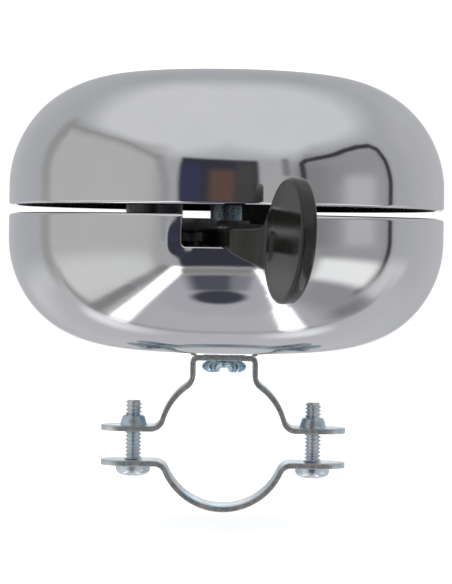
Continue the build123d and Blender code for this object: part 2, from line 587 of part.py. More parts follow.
def build():
    upper_cup = make_upper_cup()
    lower_cup = make_lower_cup()
    lever_arm = make_lever_arm()
    upper_face = UPPER_ARM_BOTTOM + HAMMER_SHEET
    lower_face = LOWER_ARM_TOP - HAMMER_SHEET
    upper_z = upper_face + STRIKER_PLAY + STRIKER / 2
    lower_z = lower_face - STRIKER_PLAY - STRIKER / 2
    washer_top = CUP_SEAT_Z + SHEET + CUP_WASHER
    plate_bottom = PLATE_TOP - PLATE
    arm_top = ARM_BOTTOM + ARM
    clip_top = LOWER_ARM_TOP - HAMMER_SHEET
    stop_peg = rod(STOP, STOP_PEG_RADIUS, STOP_PEG_BOTTOM, PLATE_TOP)
    stop_peg = stop_peg + rod(STOP, STOP_PEG_HEAD_RADIUS, PLATE_TOP, PLATE_TOP + STOP_PEG_HEAD)
    return {
        "upper_cup": upper_cup,
        "lower_cup": lower_cup,
        "cup_boss": make_boss(upper_cup),
        "centre_post": make_centre_post(),
        "post_nut": make_post_nut(),
        "lock_washer": make_lock_washer(),
        "cup_washer": ring(AXIS, CUP_WASHER_RADIUS, POST_RADIUS, CUP_SEAT_Z + SHEET, washer_top),
        "post_spacer": ring(AXIS, SPACER_RADIUS, POST_RADIUS, washer_top, plate_bottom),
        "plate_ring": ring(AXIS, PLATE_RING_RADIUS, POST_RADIUS, PLATE_TOP, PLATE_TOP + PLATE_RING),
        "mechanism_plate": make_mechanism_plate(),
        "lever_pivot_pin": make_lever_pivot_pin(),
        "pivot_washer": ring(LEVER_PIVOT, PIVOT_WASHER_RADIUS, PIVOT_RADIUS, arm_top + SIDE_GAP, plate_bottom),
        "pivot_clip": clip(LEVER_PIVOT, GROOVE_RADIUS, PIVOT_CLIP_RADIUS, CLIP_BOTTOM, CLIP_TOP, 200),
        "stop_peg": stop_peg,
        "stop_bumper": ring(STOP, BUMPER_RADIUS, STOP_PEG_RADIUS, BUMPER_BOTTOM, plate_bottom),
        "rotor_bush": make_rotor_bush(),
        "upper_strike_stud": strike_stud(UPPER_HAMMER_ANGLE + ROTOR_TURN, 1, upper_z, upper_cup),
        "lower_strike_stud": strike_stud(LOWER_HAMMER_ANGLE, -1, lower_z, lower_cup),
        "upper_clamp_strap": make_upper_strap(),
        "return_spring": make_return_spring(),
        "lever_arm": lever_arm,
        "thumb_lever": make_thumb_lever(lever_arm),
        "lever_rivets": make_lever_rivets(),
        "spring_peg": make_spring_peg(),
        "rotor_shaft": make_rotor_shaft(),
        "rotor_pinion": make_pinion(),
        "rotor_clip": clip(ROTOR, ROTOR_GROOVE_RADIUS, ROTOR_CLIP_RADIUS, clip_top - ROTOR_CLIP, clip_top, 0),
        "hammer_hub": ring(ROTOR, HUB_RADIUS, SHAFT_RADIUS, HUB_BOTTOM, UPPER_ARM_BOTTOM),
        "upper_hammer": hammer(UPPER_HAMMER_ANGLE, UPPER_ARM_BOTTOM),
        "lower_hammer": hammer(LOWER_HAMMER_ANGLE, lower_face),
        "upper_striker_pin": striker_pin(UPPER_HAMMER_ANGLE, upper_face, 1),
        "lower_striker_pin": striker_pin(LOWER_HAMMER_ANGLE, lower_face, -1),
        "upper_striker": striker(UPPER_HAMMER_ANGLE, upper_face, 1),
        "lower_striker": striker(LOWER_HAMMER_ANGLE, lower_face, -1),
        "lower_clamp_strap": make_lower_strap(),
        "clamp_screw_left": make_clamp_screw(-1),
        "clamp_screw_right": make_clamp_screw(1),
    }


os.makedirs("parts", exist_ok=True)
for name, shape in build().items():
    export_step(shape, f"parts/{name}.step")
    print(name, round(shape.volume, 2))
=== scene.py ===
import json
from contextlib import contextmanager
from math import acos, asin, atan2, ceil, cos, degrees, hypot, pi, radians, sin, sqrt, tan

import bmesh
import bpy
import numpy as np
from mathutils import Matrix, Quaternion, Vector


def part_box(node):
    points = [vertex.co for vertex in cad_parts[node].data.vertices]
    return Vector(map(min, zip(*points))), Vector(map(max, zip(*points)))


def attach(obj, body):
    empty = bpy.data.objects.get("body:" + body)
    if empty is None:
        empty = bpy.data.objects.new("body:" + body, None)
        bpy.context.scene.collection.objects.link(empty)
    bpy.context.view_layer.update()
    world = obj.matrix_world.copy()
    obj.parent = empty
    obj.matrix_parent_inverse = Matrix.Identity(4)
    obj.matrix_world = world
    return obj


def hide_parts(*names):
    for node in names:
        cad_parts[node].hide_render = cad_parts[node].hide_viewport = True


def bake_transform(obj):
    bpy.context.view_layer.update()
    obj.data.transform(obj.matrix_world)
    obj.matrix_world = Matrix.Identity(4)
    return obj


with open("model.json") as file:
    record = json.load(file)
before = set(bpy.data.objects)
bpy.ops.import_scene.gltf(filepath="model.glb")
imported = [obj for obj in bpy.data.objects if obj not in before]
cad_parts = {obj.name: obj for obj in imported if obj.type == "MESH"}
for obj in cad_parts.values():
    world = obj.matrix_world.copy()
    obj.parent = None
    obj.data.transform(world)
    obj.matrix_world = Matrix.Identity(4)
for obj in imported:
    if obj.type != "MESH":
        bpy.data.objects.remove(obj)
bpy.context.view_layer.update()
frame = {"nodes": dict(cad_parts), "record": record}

# Looks of the two-cup bicycle bell. Lengths are in millimetres until a mesh is made.
MM = 0.001

# Cups
CUP_R, SHEET = 40.0, 1.0
RIM_OUTER, RIM_INNER, RIM_STEPS = 0.7, 0.2, 6
UPPER_RIM_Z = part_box("upper_cup")[0].z / MM
LOWER_RIM_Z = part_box("lower_cup")[1].z / MM
UPPER_SHAPE = (25.7, 20.9, 167.0)
LOWER_SHAPE = (25.6, 20.4, 225.0)
POST_R = 3.0
WINDOW = (-7.4, 7.4, 36.7)
WINDOW_CORNER, WINDOW_ROLL = 0.6, 0.34
DISH_DEPTH, DISH_REACH = 0.17, 3.0

# Clamp
STRAP, STRAP_HALF = 1.0, 4.0
STRAP_R, TAB_TIP = 11.6, 22.6
TAB_BEND, TOP_BEND, STEM_BEND = 2.2, 1.0, 2.4
UPPER_TAB_Z, CLAMP_OPEN, SEAT_Z, STEM = 3.0, 1.5, 16.7, 5.75
SCREW_X, SCREW_R, SCREW_PITCH, THREAD_DEPTH = 16.6, 1.55, 0.7, 0.37
SCREW_LOW, SCREW_HIGH = -3.9, 8.1
HEAD_R, HEAD_HEIGHT, HEAD_CHAMFER, HEAD_SIDE = 3.18, 2.05, 0.12, 0.72
HEAD_DOME_OUT, HEAD_DOME_DOWN = 1.35, 1.12
LOOSE_HOLE, TAPPED_HOLE = 0.15, 0.05

# Post
POST_TOP, POST_THREAD_START, POST_PITCH, POST_THREAD_DEPTH = 66.0, 54.0, 0.8, 0.25
PETAL_CORE, PETAL_LONG, PETAL_SHORT, HOLLOW_R = 2.1, 2.05, 1.25, 1.5

# Lever
PIVOT = (-5.0, -13.5)
WALL_POINT = (1.5, -40.5)
ARM_HEADING = atan2(WALL_POINT[1] - PIVOT[1], WALL_POINT[0] - PIVOT[0])
PADDLE = (10.2, -58.0, 37.9)
PADDLE_R, PADDLE_HALF = 10.15, 1.3
PADDLE_HEADING, PADDLE_LEAN = radians(-74.0), radians(3.8)
NECK_BOTTOM, NECK_TOP = 37.0, 39.8
NECK_HALF, NECK_EDGE, PADDLE_EDGE = 2.0, 0.35, 0.7
TOP_SWEEP, BOTTOM_SWEEP = 10, 1.35
JOIN_HALF, CURVE_INSIDE = 4.9, 6.0
TANG_START, DISC_START, LEAN_START, LEAN_RUN = 12.0, -8.8, -16.0, 7.0


def show(name, data):
    """Puts a mesh, lamp or camera into the scene."""
    made = bpy.data.objects.new(name, data)
    bpy.context.scene.collection.objects.link(made)
    return made


# ==== Node helpers

def new_material(name):
    """A material with a Principled shader and its node tree."""
    material = bpy.data.materials.new(name)
    material.use_nodes = True
    tree = material.node_tree
    shader = next(n for n in tree.nodes if n.type == "BSDF_PRINCIPLED")
    return material, tree, shader


def node(tree, kind, **values):
    """Adds a node; keywords named like an input set that input, the others set properties."""
    made = tree.nodes.new(kind)
    for key, value in values.items():
        label = key.replace("_", " ").title()
        if label in made.inputs:
            made.inputs[label].default_value = value
        else:
            setattr(made, key, value)
    return made


def feed(tree, shader, **sources):
    """Links sources to the shader's inputs of the same name."""
    for key, source in sources.items():
        tree.links.new(source, shader.inputs[key.replace("_", " ").title()])


def object_coords(tree, scale=(1, 1, 1)):
    """Object coordinates, stretched per axis."""
    coords = node(tree, "ShaderNodeTexCoord")
    mapping = node(tree, "ShaderNodeMapping")
    mapping.inputs["Scale"].default_value = scale
    tree.links.new(coords.outputs["Object"], mapping.inputs["Vector"])
    return mapping.outputs["Vector"]


def noise(tree, vector, scale, detail=4.0, roughness=0.55, distortion=0.0):
    made = node(tree, "ShaderNodeTexNoise", scale=scale, detail=detail, roughness=roughness)
    made.inputs["Distortion"].default_value = distortion
    tree.links.new(vector, made.inputs["Vector"])
    return made.outputs["Fac"]


def ramp(tree, factor, stops):
    """A colour ramp through (position, colour) stops; a grey may be one number."""
    made = node(tree, "ShaderNodeValToRGB")
    elements = made.color_ramp.elements
    while len(elements) < len(stops):
        elements.new(0.5)
    for element, (position, colour) in zip(elements, stops):
        element.position = position
        grey = isinstance(colour, (int, float))
        element.color = (colour, colour, colour, 1) if grey else (*colour, 1)
    tree.links.new(factor, made.inputs["Fac"])
    return made.outputs["Color"]


def maths(tree, operation, first, second=None):
    made = node(tree, "ShaderNodeMath", operation=operation)
    for slot_index, value in enumerate((first, second)):
        if value is None:
            continue
        if isinstance(value, (int, float)):
            made.inputs[slot_index].default_value = value
        else:
            tree.links.new(value, made.inputs[slot_index])
    return made.outputs[0]


def mix_colour(tree, factor, first, second, blend_type="MIX"):
    made = node(tree, "ShaderNodeMix", data_type="RGBA", blend_type=blend_type)
    sockets = {s.identifier: s for s in made.inputs}
    for key, value in (("Factor_Float", factor), ("A_Color", first), ("B_Color", second)):
        if isinstance(value, (int, float)):
            sockets[key].default_value = value
        elif isinstance(value, tuple):
            sockets[key].default_value = (*value, 1)
        else:
            tree.links.new(value, sockets[key])
    return next(s for s in made.outputs if s.identifier == "Result_Color")


def bump(tree, height, strength, distance, normal=None):
    made = node(tree, "ShaderNodeBump")
    made.inputs["Strength"].default_value = strength
    made.inputs["Distance"].default_value = distance
    tree.links.new(height, made.inputs["Height"])
    if normal is not None:
        tree.links.new(normal, made.inputs["Normal"])
    return made.outputs["Normal"]


# ==== Materials

def chrome_material(name, pitting):
    """Bright chromium plate: faint smears, hairline rub marks, and shallow pits where the plating is thin."""
    material, tree, shader = new_material(name)
    plain = object_coords(tree)
    smears = noise(tree, plain, 55.0, detail=5.0, roughness=0.6, distortion=0.6)
    rubs = noise(tree, object_coords(tree, (1.0, 1.0, 9.0)), 260.0, detail=3.0)
    patches = noise(tree, plain, 38.0, detail=2.0)
    colour = ramp(tree, smears, [(0.3, (0.585, 0.59, 0.605)), (0.7, (0.625, 0.628, 0.638))])
    shader.inputs["Metallic"].default_value = 1.0
    blur = ramp(tree, smears, [(0.42, 0.045), (0.58, 0.06), (0.72, 0.1)])
    rough = maths(tree, "MULTIPLY_ADD", rubs, 0.02)
    tree.links.new(blur, rough.node.inputs[2])
    waves = noise(tree, plain, 120.0, detail=1.0)
    peel = noise(tree, plain, 1500.0, detail=2.0)
    mask = ramp(tree, patches, [(0.4, 0.0), (0.62, 1.0)])
    pits = maths(tree, "MULTIPLY", peel, mask)
    normal = bump(tree, waves, 0.5, 0.0000025)
    normal = bump(tree, pits, pitting, 0.000003, normal)
    feed(tree, shader, base_color=colour, roughness=rough, normal=normal)
    return material


def zinc_material(name, blue, warm, rough_low, rough_high):
    """Blue-passivated zinc on rolled sheet: cloudy tint, dulled sheared edges, rolling lines."""
    material, tree, shader = new_material(name)
    plain = object_coords(tree)
    clouds = noise(tree, plain, 230.0, detail=5.0, roughness=0.62, distortion=0.4)
    grain = noise(tree, object_coords(tree, (1.0, 14.0, 1.0)), 800.0, detail=3.0)
    fine = noise(tree, plain, 3500.0, detail=2.0)
    tint = ramp(tree, clouds, [(0.34, blue), (0.5, (0.58, 0.66, 0.71)), (0.66, warm)])
    coords = node(tree, "ShaderNodeTexCoord")
    split = node(tree, "ShaderNodeSeparateXYZ")
    tree.links.new(coords.outputs["Normal"], split.inputs["Vector"])
    side = maths(tree, "ABSOLUTE", split.outputs["Y"])
    edge = ramp(tree, side, [(0.86, 0.0), (0.97, 1.0)])
    sheared = noise(tree, object_coords(tree, (1.0, 1.0, 1.0)), 1400.0, detail=4.0, roughness=0.7)
    dull = ramp(tree, sheared, [(0.35, (0.36, 0.355, 0.34)), (0.65, (0.6, 0.6, 0.59))])
    colour = mix_colour(tree, edge, tint, dull)
    shader.inputs["Metallic"].default_value = 1.0
    rough = ramp(tree, clouds, [(0.35, rough_low), (0.65, rough_high)])
    rougher = maths(tree, "MULTIPLY_ADD", edge, 0.16)
    tree.links.new(rough, rougher.node.inputs[2])
    normal = bump(tree, grain, 0.5, 0.000012)
    normal = bump(tree, fine, 0.35, 0.000008, normal)
    feed(tree, shader, base_color=colour, roughness=rougher, normal=normal)
    return material


def metal_material(name, dark, light, rough_low, rough_high, scale=420.0):
    """Turned or pressed metal with a cloudy oil film and fine tool lines."""
    material, tree, shader = new_material(name)
    plain = object_coords(tree)
    clouds = noise(tree, plain, scale, detail=5.0, roughness=0.6, distortion=0.3)
    lines = noise(tree, object_coords(tree, (1.0, 1.0, 16.0)), 700.0, detail=2.0)
    colour = ramp(tree, clouds, [(0.32, dark), (0.68, light)])
    shader.inputs["Metallic"].default_value = 1.0
    rough = ramp(tree, clouds, [(0.35, rough_low), (0.65, rough_high)])
    feed(tree, shader, base_color=colour, roughness=rough, normal=bump(tree, lines, 0.5, 0.00001))
    return material


def moulded_material(name, dark, light, rough_low, rough_high, gloss=0.5, peel=0.5, scale=300.0):
    """Moulded polymer: slight orange peel, flow clouds, and rubbed spots."""
    material, tree, shader = new_material(name)
    plain = object_coords(tree)
    flow = noise(tree, plain, scale, detail=4.0, roughness=0.6, distortion=0.8)
    skin = noise(tree, plain, 1800.0, detail=2.0)
    scuffs = noise(tree, object_coords(tree, (1.0, 1.0, 5.0)), 900.0, detail=6.0, roughness=0.75)
    colour = ramp(tree, flow, [(0.3, dark), (0.7, light)])
    rough = ramp(tree, scuffs, [(0.4, rough_low), (0.6, (rough_low + rough_high) / 2), (0.75, rough_high)])
    feed(tree, shader, base_color=colour, roughness=rough, normal=bump(tree, skin, peel, 0.000006))
    shader.inputs["Specular IOR Level"].default_value = gloss
    return material


CHROME_UPPER = chrome_material("chrome_upper", 0.5)
CHROME_LOWER = chrome_material("chrome_lower", 1.0)
ZINC_STRAP = zinc_material("zinc_strap", (0.46, 0.66, 0.8), (0.76, 0.77, 0.74), 0.26, 0.42)
ZINC_SCREW = metal_material("zinc_screw", (0.6, 0.7, 0.79), (0.82, 0.83, 0.82), 0.22, 0.38, 500.0)
ZINC_POST = metal_material("zinc_post", (0.4, 0.6, 0.72), (0.78, 0.83, 0.85), 0.2, 0.34, 600.0)
# The zinc parts inside the bell get a far darker copy of the zinc: painted shade.
ZINC_INSIDE_SHADED = metal_material("zinc_inside_shaded", (0.16, 0.19, 0.2), (0.36, 0.38, 0.36), 0.3, 0.5, 240.0)
# The cups' inner faces: dull plating, rougher than the chrome, and a near-black colour that is painted shade.
CUP_INSIDE_SHADED = metal_material("cup_inside_shaded", (0.05, 0.05, 0.055), (0.1, 0.098, 0.1), 0.42, 0.6, 260.0)
STEEL = metal_material("pressed_steel", (0.3, 0.3, 0.31), (0.5, 0.5, 0.5), 0.28, 0.46)
SPRING_STEEL = metal_material("spring_steel", (0.22, 0.22, 0.24), (0.42, 0.42, 0.43), 0.22, 0.36, 900.0)
BRASS = metal_material("brass", (0.55, 0.38, 0.14), (0.78, 0.6, 0.29), 0.24, 0.4)
PLASTIC = moulded_material("black_plastic", (0.006, 0.006, 0.005), (0.013, 0.013, 0.011), 0.1, 0.2, 0.4)
NYLON = moulded_material("natural_nylon", (0.62, 0.6, 0.53), (0.74, 0.72, 0.66), 0.35, 0.5)
RUBBER = moulded_material("rubber", (0.012, 0.012, 0.013), (0.03, 0.03, 0.031), 0.6, 0.8)


# ==== Mesh helpers

def add_piece(name, points, faces, material):
    """A smooth-shaded mesh from points in millimetres."""
    mesh = bpy.data.meshes.new(name)
    mesh.from_pydata([(x * MM, y * MM, z * MM) for x, y, z in points], [], faces)
    mesh.materials.append(material)
    mesh.polygons.foreach_set("use_smooth", [True] * len(mesh.polygons))
    mesh.update()
    return show(name, mesh)


@contextmanager
def edited(mesh):
    """The mesh opened for editing, and written back at the end."""
    made = bmesh.new()
    made.from_mesh(mesh)
    yield made
    made.to_mesh(mesh)
    made.free()


def shade(mesh, sharp_angle):
    """Smooth shading, with edges above an angle in degrees left sharp."""
    mesh.polygons.foreach_set("use_smooth", [True] * len(mesh.polygons))
    mesh.set_sharp_from_angle(angle=radians(sharp_angle))


def weld(piece, sharp_angle, distance=0.0005):
    """Merges doubled points, drops faces with no area and turns all faces outwards."""
    with edited(piece.data) as made:
        bmesh.ops.remove_doubles(made, verts=made.verts, dist=distance * MM)
        bmesh.ops.dissolve_degenerate(made, edges=made.edges, dist=distance * MM)
        bmesh.ops.recalc_face_normals(made, faces=made.faces)
    shade(piece.data, sharp_angle)
    piece.data.update()
    return piece


def cut(piece, cutters, operation="DIFFERENCE"):
    """Applies boolean modifiers and removes the cutters."""
    for cutter in cutters:
        modifier = piece.modifiers.new("cut", "BOOLEAN")
        modifier.operation = operation
        modifier.solver = "EXACT"
        modifier.object = cutter
    graph = bpy.context.evaluated_depsgraph_get()
    mesh = bpy.data.meshes.new_from_object(piece.evaluated_get(graph), depsgraph=graph)
    piece.modifiers.clear()
    piece.data = mesh
    for cutter in cutters:
        bpy.data.objects.remove(cutter)
    return piece


def lathe(profile, segments, centre=(0.0, 0.0)):
    """Points and faces of a closed (radius, height) outline turned about an upright axis."""
    points, faces = [], []
    count = len(profile)
    for column in range(segments):
        angle = 2 * pi * column / segments
        for radius, height in profile:
            points.append((centre[0] + radius * cos(angle), centre[1] + radius * sin(angle), height))
    for column in range(segments):
        near, far = column * count, (column + 1) % segments * count
        for row in range(count):
            after = (row + 1) % count
            faces.append((near + row, far + row, far + after, near + after))
    return points, faces


def ring_faces(rows, count, capped=True):
    """Quads between neighbouring rings of points, and a face over each end."""
    faces = []
    for row in range(rows - 1):
        for place in range(count):
            nxt = (place + 1) % count
            near, far = row * count, (row + 1) * count
            faces.append((near + place, near + nxt, far + nxt, far + place))
    if capped:
        last = (rows - 1) * count
        faces.append(tuple(reversed(range(count))))
        faces.append(tuple(range(last, last + count)))
    return faces


def arc(centre, radius, start, end, steps):
    """Points on an arc, angles in degrees, both ends included."""
    angles = [radians(start + (end - start) * step / steps) for step in range(steps + 1)]
    return [(centre[0] + radius * cos(angle), centre[1] + radius * sin(angle)) for angle in angles]


def finish_piece(piece, body, slot_name, *nodes):
    if body:
        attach(piece, body)
    if nodes:
        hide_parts(*nodes)
    return piece


# ==== Cups

def window_distance(x, z):
    """Distance outside the window's rounded outline, and its direction away from the window, in (x, z)."""
    left, right, bottom = WINDOW
    middle, half = (left + right) / 2, (right - left) / 2 - WINDOW_CORNER
    from_side = abs(x - middle) - half
    below = bottom + WINDOW_CORNER - z
    hand = 1.0 if x > middle else -1.0
    across, down = max(from_side, 0.0), max(below, 0.0)
    if from_side > 0 and below > 0:
        reach = hypot(across, down)
        return reach - WINDOW_CORNER, (hand * across / reach, -down / reach)
    if from_side > below:
        return from_side - WINDOW_CORNER, (hand, 0.0)
    return below - WINDOW_CORNER, (0.0, -1.0)


def ease(value):
    """0 below 0, 1 above 1, and a smooth step between."""
    share = min(max(value, 0.0), 1.0)
    return share * share * (3 - 2 * share)


def window_dish(x, z):
    """How far the sheet is pressed in along the window's sides."""
    across = min(abs(abs(x) - WINDOW[1]) / DISH_REACH, 1.0)
    along = ease((z - WINDOW[2] + 2.4) / 2.8) * (1 - 0.9 * ease((z - WINDOW[2] - 1.4) / 3.8))
    return DISH_DEPTH * cos(pi / 2 * across) ** 2 * along


def cup_rows(shape, inset, levels, shoulder_steps, crown_steps, hole):
    """(radius, depth from the rim, normal) down one face of a cup, from the rim's bend to its crown."""
    height, shoulder, crown = shape
    shoulder_r = CUP_R - shoulder
    crown_z = height - crown
    shoulder_z = crown_z + sqrt((crown - shoulder) ** 2 - shoulder_r**2)
    tangent = atan2(shoulder_z - crown_z, shoulder_r)
    face_radius = shoulder - inset
    rows = []
    lowest = 0.0
    for level in levels:
        lowest = asin(max(0.0, level - shoulder_z) / face_radius)
        radius = shoulder_r + face_radius * cos(lowest)
        rows.append((radius, level, (cos(lowest), sin(lowest))))
    for step in range(1, shoulder_steps + 1):
        angle = lowest + (tangent - lowest) * step / shoulder_steps
        place = (shoulder_r + face_radius * cos(angle), shoulder_z + face_radius * sin(angle))
        rows.append((*place, (cos(angle), sin(angle))))
    crown_radius = crown - inset
    last = acos(hole / crown_radius)
    for step in range(1, crown_steps + 1):
        angle = tangent + (last - tangent) * step / crown_steps
        place = (crown_radius * cos(angle), crown_z + crown_radius * sin(angle))
        rows.append((*place, (cos(angle), sin(angle))))
    return rows


def make_cup(name, shape, rim_z, up, material, windowed):
    """One cup as a closed sheet: outer face, rounded rim and inner face, with normals from the shape."""
    corner_steps = 4
    turns = [radians(90 * step / corner_steps) for step in range(corner_steps + 1)]
    depth = LOWER_RIM_Z - WINDOW[2]
    corner = [depth - WINDOW_CORNER * (1 - sin(turn)) for turn in turns]
    roll = [depth + WINDOW_ROLL * part for part in (0.12, 0.3, 0.6, 1.0)]
    above = 12

    def levels(rim_round):
        straight = [rim_round + (corner[0] - rim_round) * step / above for step in range(above)]
        return straight + corner + roll

    first_kept = above + corner_steps
    hole = POST_R if windowed else 0.0
    outer = cup_rows(shape, 0.0, levels(RIM_OUTER), 44, 26, hole)
    inner = cup_rows(shape, SHEET, levels(RIM_INNER), 44, 26, hole)
    rim = []
    for step in range(1, RIM_STEPS + 1):
        turn = radians(90 * step / RIM_STEPS)
        out, down = cos(turn), 1 - sin(turn)
        rim.append((CUP_R - RIM_OUTER * (1 - out), RIM_OUTER * down, (out, -sin(turn))))
    rim.append((CUP_R - (RIM_OUTER + SHEET - RIM_INNER) / 2, 0.0, (0.0, -1.0)))
    for step in range(RIM_STEPS, 0, -1):
        turn = radians(90 * step / RIM_STEPS)
        out, down = cos(turn), 1 - sin(turn)
        rim.append((CUP_R - SHEET + RIM_INNER * (1 - out), RIM_INNER * down, (-out, -sin(turn))))
    inside = [(r, d, (-n[0], -n[1])) for r, d, n in inner]
    rows = list(reversed(outer)) + rim + inside
    total = len(rows)
    outer_count = len(outer)

    edge = asin(12.0 / CUP_R)
    columns = []
    if windowed:
        left, right, _ = WINDOW
        marks = [left - WINDOW_ROLL * part for part in (1.0, 0.6, 0.3, 0.12)]
        marks += [left + WINDOW_CORNER * (1 - cos(turn)) for turn in turns]
        marks += [right - WINDOW_CORNER * (1 - cos(turn)) for turn in reversed(turns)]
        marks += [right + WINDOW_ROLL * part for part in (0.12, 0.3, 0.6, 1.0)]
        spans = [(-12.0, marks[0], 7), (marks[8], marks[9], 16), (marks[-1], 12.0, 12)]
        for start, end, steps in spans:
            marks += [start + (end - start) * step / steps for step in range(1, steps)]
        marks += [-12.0, 12.0]
        columns = [("x", mark) for mark in sorted(marks)]
        first_column = columns.index(("x", left))
        last_column = columns.index(("x", right))
    around = 300
    start = edge if windowed else -edge
    sweep_angle = 2 * pi - 2 * edge if windowed else 2 * pi
    for step in range(around):
        if windowed and step == 0:
            continue
        columns.append(("angle", start + sweep_angle * step / around))

    def direction(column, radius):
        kind, value = columns[column]
        if kind == "angle":
            return value
        return asin(value / min(max(radius, CUP_R - SHEET), CUP_R))

    points, normals = [], []
    width = len(columns)
    for row, (radius, level, (out, along_axis)) in enumerate(rows):
        reference = CUP_R if row < outer_count else CUP_R - SHEET
        if outer_count <= row < outer_count + len(rim):
            reference = radius
        for column in range(width):
            turn = direction(column, reference)
            normal = Vector((out * sin(turn), -out * cos(turn), along_axis * up))
            place = Vector((radius * sin(turn), -radius * cos(turn), rim_z + up * level))
            if windowed and columns[column][0] == "x":
                x, z = place.x, place.z
                slope_x = (window_dish(x + 0.01, z) - window_dish(x - 0.01, z)) / 0.02
                slope_z = (window_dish(x, z + 0.01) - window_dish(x, z - 0.01)) / 0.02
                side = 1.0 if row < outer_count + RIM_STEPS else -1.0
                inward = Vector((-sin(turn), cos(turn), 0.0))
                normal = (normal + Vector((slope_x, 0.0, slope_z)) * side).normalized()
                place = place + inward * window_dish(place.x, place.z)
            if windowed and row < outer_count and columns[column][0] == "x":
                away, (gx, gz) = window_distance(place.x, place.z)
                if away < WINDOW_ROLL:
                    tilt = asin(min(1.0, 1.0 - max(away, 0.0) / WINDOW_ROLL))
                    place -= normal * (WINDOW_ROLL * (1 - cos(tilt)))
                    normal = normal * cos(tilt) - Vector((gx, 0.0, gz)) * sin(tilt)
                    normal.normalize()
            points.append(place)
            normals.append(normal)

    def cell_state(column, row):
        """0 keeps a cell, 1 drops it, and a pair of corners says which half stays."""
        if not windowed or not first_column <= column < last_column:
            return 0
        mirror_row = row if row < total - 1 - row else total - 2 - row
        from_bottom = mirror_row - (outer_count - 1 - first_kept)
        if from_bottom < 0:
            return 0
        from_left = column - first_column
        from_right = last_column - 1 - column
        for offset, hand in ((from_left, "left"), (from_right, "right")):
            if offset < corner_steps and from_bottom < corner_steps:
                if offset + from_bottom < corner_steps - 1:
                    return 0
                if offset + from_bottom == corner_steps - 1:
                    return hand
        return 1

    faces, flat, dull = [], [], []
    for row in range(total - 1):
        for column in range(width):
            after = (column + 1) % width
            quad = [row * width + column, row * width + after]
            quad += [(row + 1) * width + after, (row + 1) * width + column]
            state = cell_state(column, row)
            if state == 1:
                continue
            if state in ("left", "right"):
                outer_side = row < total - 1 - row
                near = 0 if state == "left" else 1
                corner_index = near if outer_side else 3 - near
                quad.pop((corner_index + 2) % 4)
            faces.append(quad)
            flat.append(False)
            # Inner faces take the second slot: dull plating with painted shade.
            dull.append(row >= outer_count + len(rim) - 1)
    if hole > 0:
        for column in range(width):
            after = (column + 1) % width
            last = (total - 1) * width
            faces.append([column, last + column, last + after, after])
            flat.append(True)
            dull.append(False)
    if windowed:
        border = {}
        for face in faces:
            for first, second in zip(face, face[1:] + face[:1]):
                key = (min(first, second), max(first, second))
                border[key] = None if key in border else (first, second)
        for pair in [p for p in border.values() if p is not None]:
            mirror_pair = []
            for index in pair:
                row, column = divmod(index, width)
                mirror_pair.append((total - 1 - row) * width + column)
            if pair[0] // width <= total - 1 - pair[0] // width:
                corners = [pair[1], pair[0], mirror_pair[0], mirror_pair[1]]
                unique = list(dict.fromkeys(corners))
                if len(unique) > 2:
                    faces.append(unique)
                    flat.append(True)
                    dull.append(False)

    if up > 0:
        faces = [list(reversed(face)) for face in faces]
    mesh = bpy.data.meshes.new(name)
    mesh.from_pydata([tuple(place * MM) for place in points], [], faces)
    mesh.materials.append(material)
    mesh.materials.append(CUP_INSIDE_SHADED)
    mesh.polygons.foreach_set("use_smooth", [True] * len(mesh.polygons))
    mesh.polygons.foreach_set("material_index", [int(is_dull_and_shaded) for is_dull_and_shaded in dull])
    mesh.update()
    loop_normals = []
    for polygon, is_flat in zip(mesh.polygons, flat):
        for index in polygon.vertices:
            loop_normals.append(tuple(polygon.normal if is_flat else normals[index]))
    mesh.normals_split_custom_set(loop_normals)
    piece = show(name, mesh)
    if hole == 0:
        with edited(mesh) as made:
            poles = [v for v in made.verts if hypot(v.co.x, v.co.y) < 0.02 * MM]
            bmesh.ops.remove_doubles(made, verts=poles, dist=0.1 * MM)
    return piece


upper_cup = make_cup("upper_cup_shell", UPPER_SHAPE, UPPER_RIM_Z, 1, CHROME_UPPER, False)
finish_piece(upper_cup, "bell", "chrome", "upper_cup")
lower_cup = make_cup("lower_cup_shell", LOWER_SHAPE, LOWER_RIM_Z, -1, CHROME_LOWER, True)
finish_piece(lower_cup, "bell", "chrome", "lower_cup")


# ==== Clamp straps

def tangent_arc(hub, hub_radius, bend, level, hand, above):
    """A bend between a level tab and the round part, on the outside of the round part."""
    z = level + bend * above
    reach = hub_radius + bend
    x = hand * sqrt(reach**2 - (z - hub) ** 2)
    touch = (x * hub_radius / reach, hub + (z - hub) * hub_radius / reach)
    start = degrees(atan2(level - z, 0.0))
    end = degrees(atan2(touch[1] - z, touch[0] - x))
    while end - start > 180:
        end -= 360
    while start - end > 180:
        end += 360
    return (x, z), start, end, touch


def tab_points(level, x_start):
    """From the rounded tip of the left tab to where its bend starts."""
    steps = 14
    tip = []
    for step in range(steps + 1):
        turn = pi / 2 * step / steps
        tip.append((-(TAB_TIP - STRAP_HALF) - STRAP_HALF * cos(turn), level))
    length = x_start - tip[-1][0]
    tip += [(tip[-1][0] + length * step / 12, level) for step in range(1, 13)]
    return tip


def lower_path():
    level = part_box("lower_clamp_strap")[1].z / MM - STRAP / 2
    (x, z), start, end, touch = tangent_arc(0.0, STRAP_R, TAB_BEND, level, -1, -1)
    left = tab_points(level, x) + arc((x, z), TAB_BEND, start, end, 10)[1:]
    angle = degrees(atan2(touch[1], touch[0])) % 360
    half = arc((0, 0), STRAP_R, angle, 270, 40)[1:]
    left += half
    return left + [(-px, pz) for px, pz in reversed(left[:-1])]


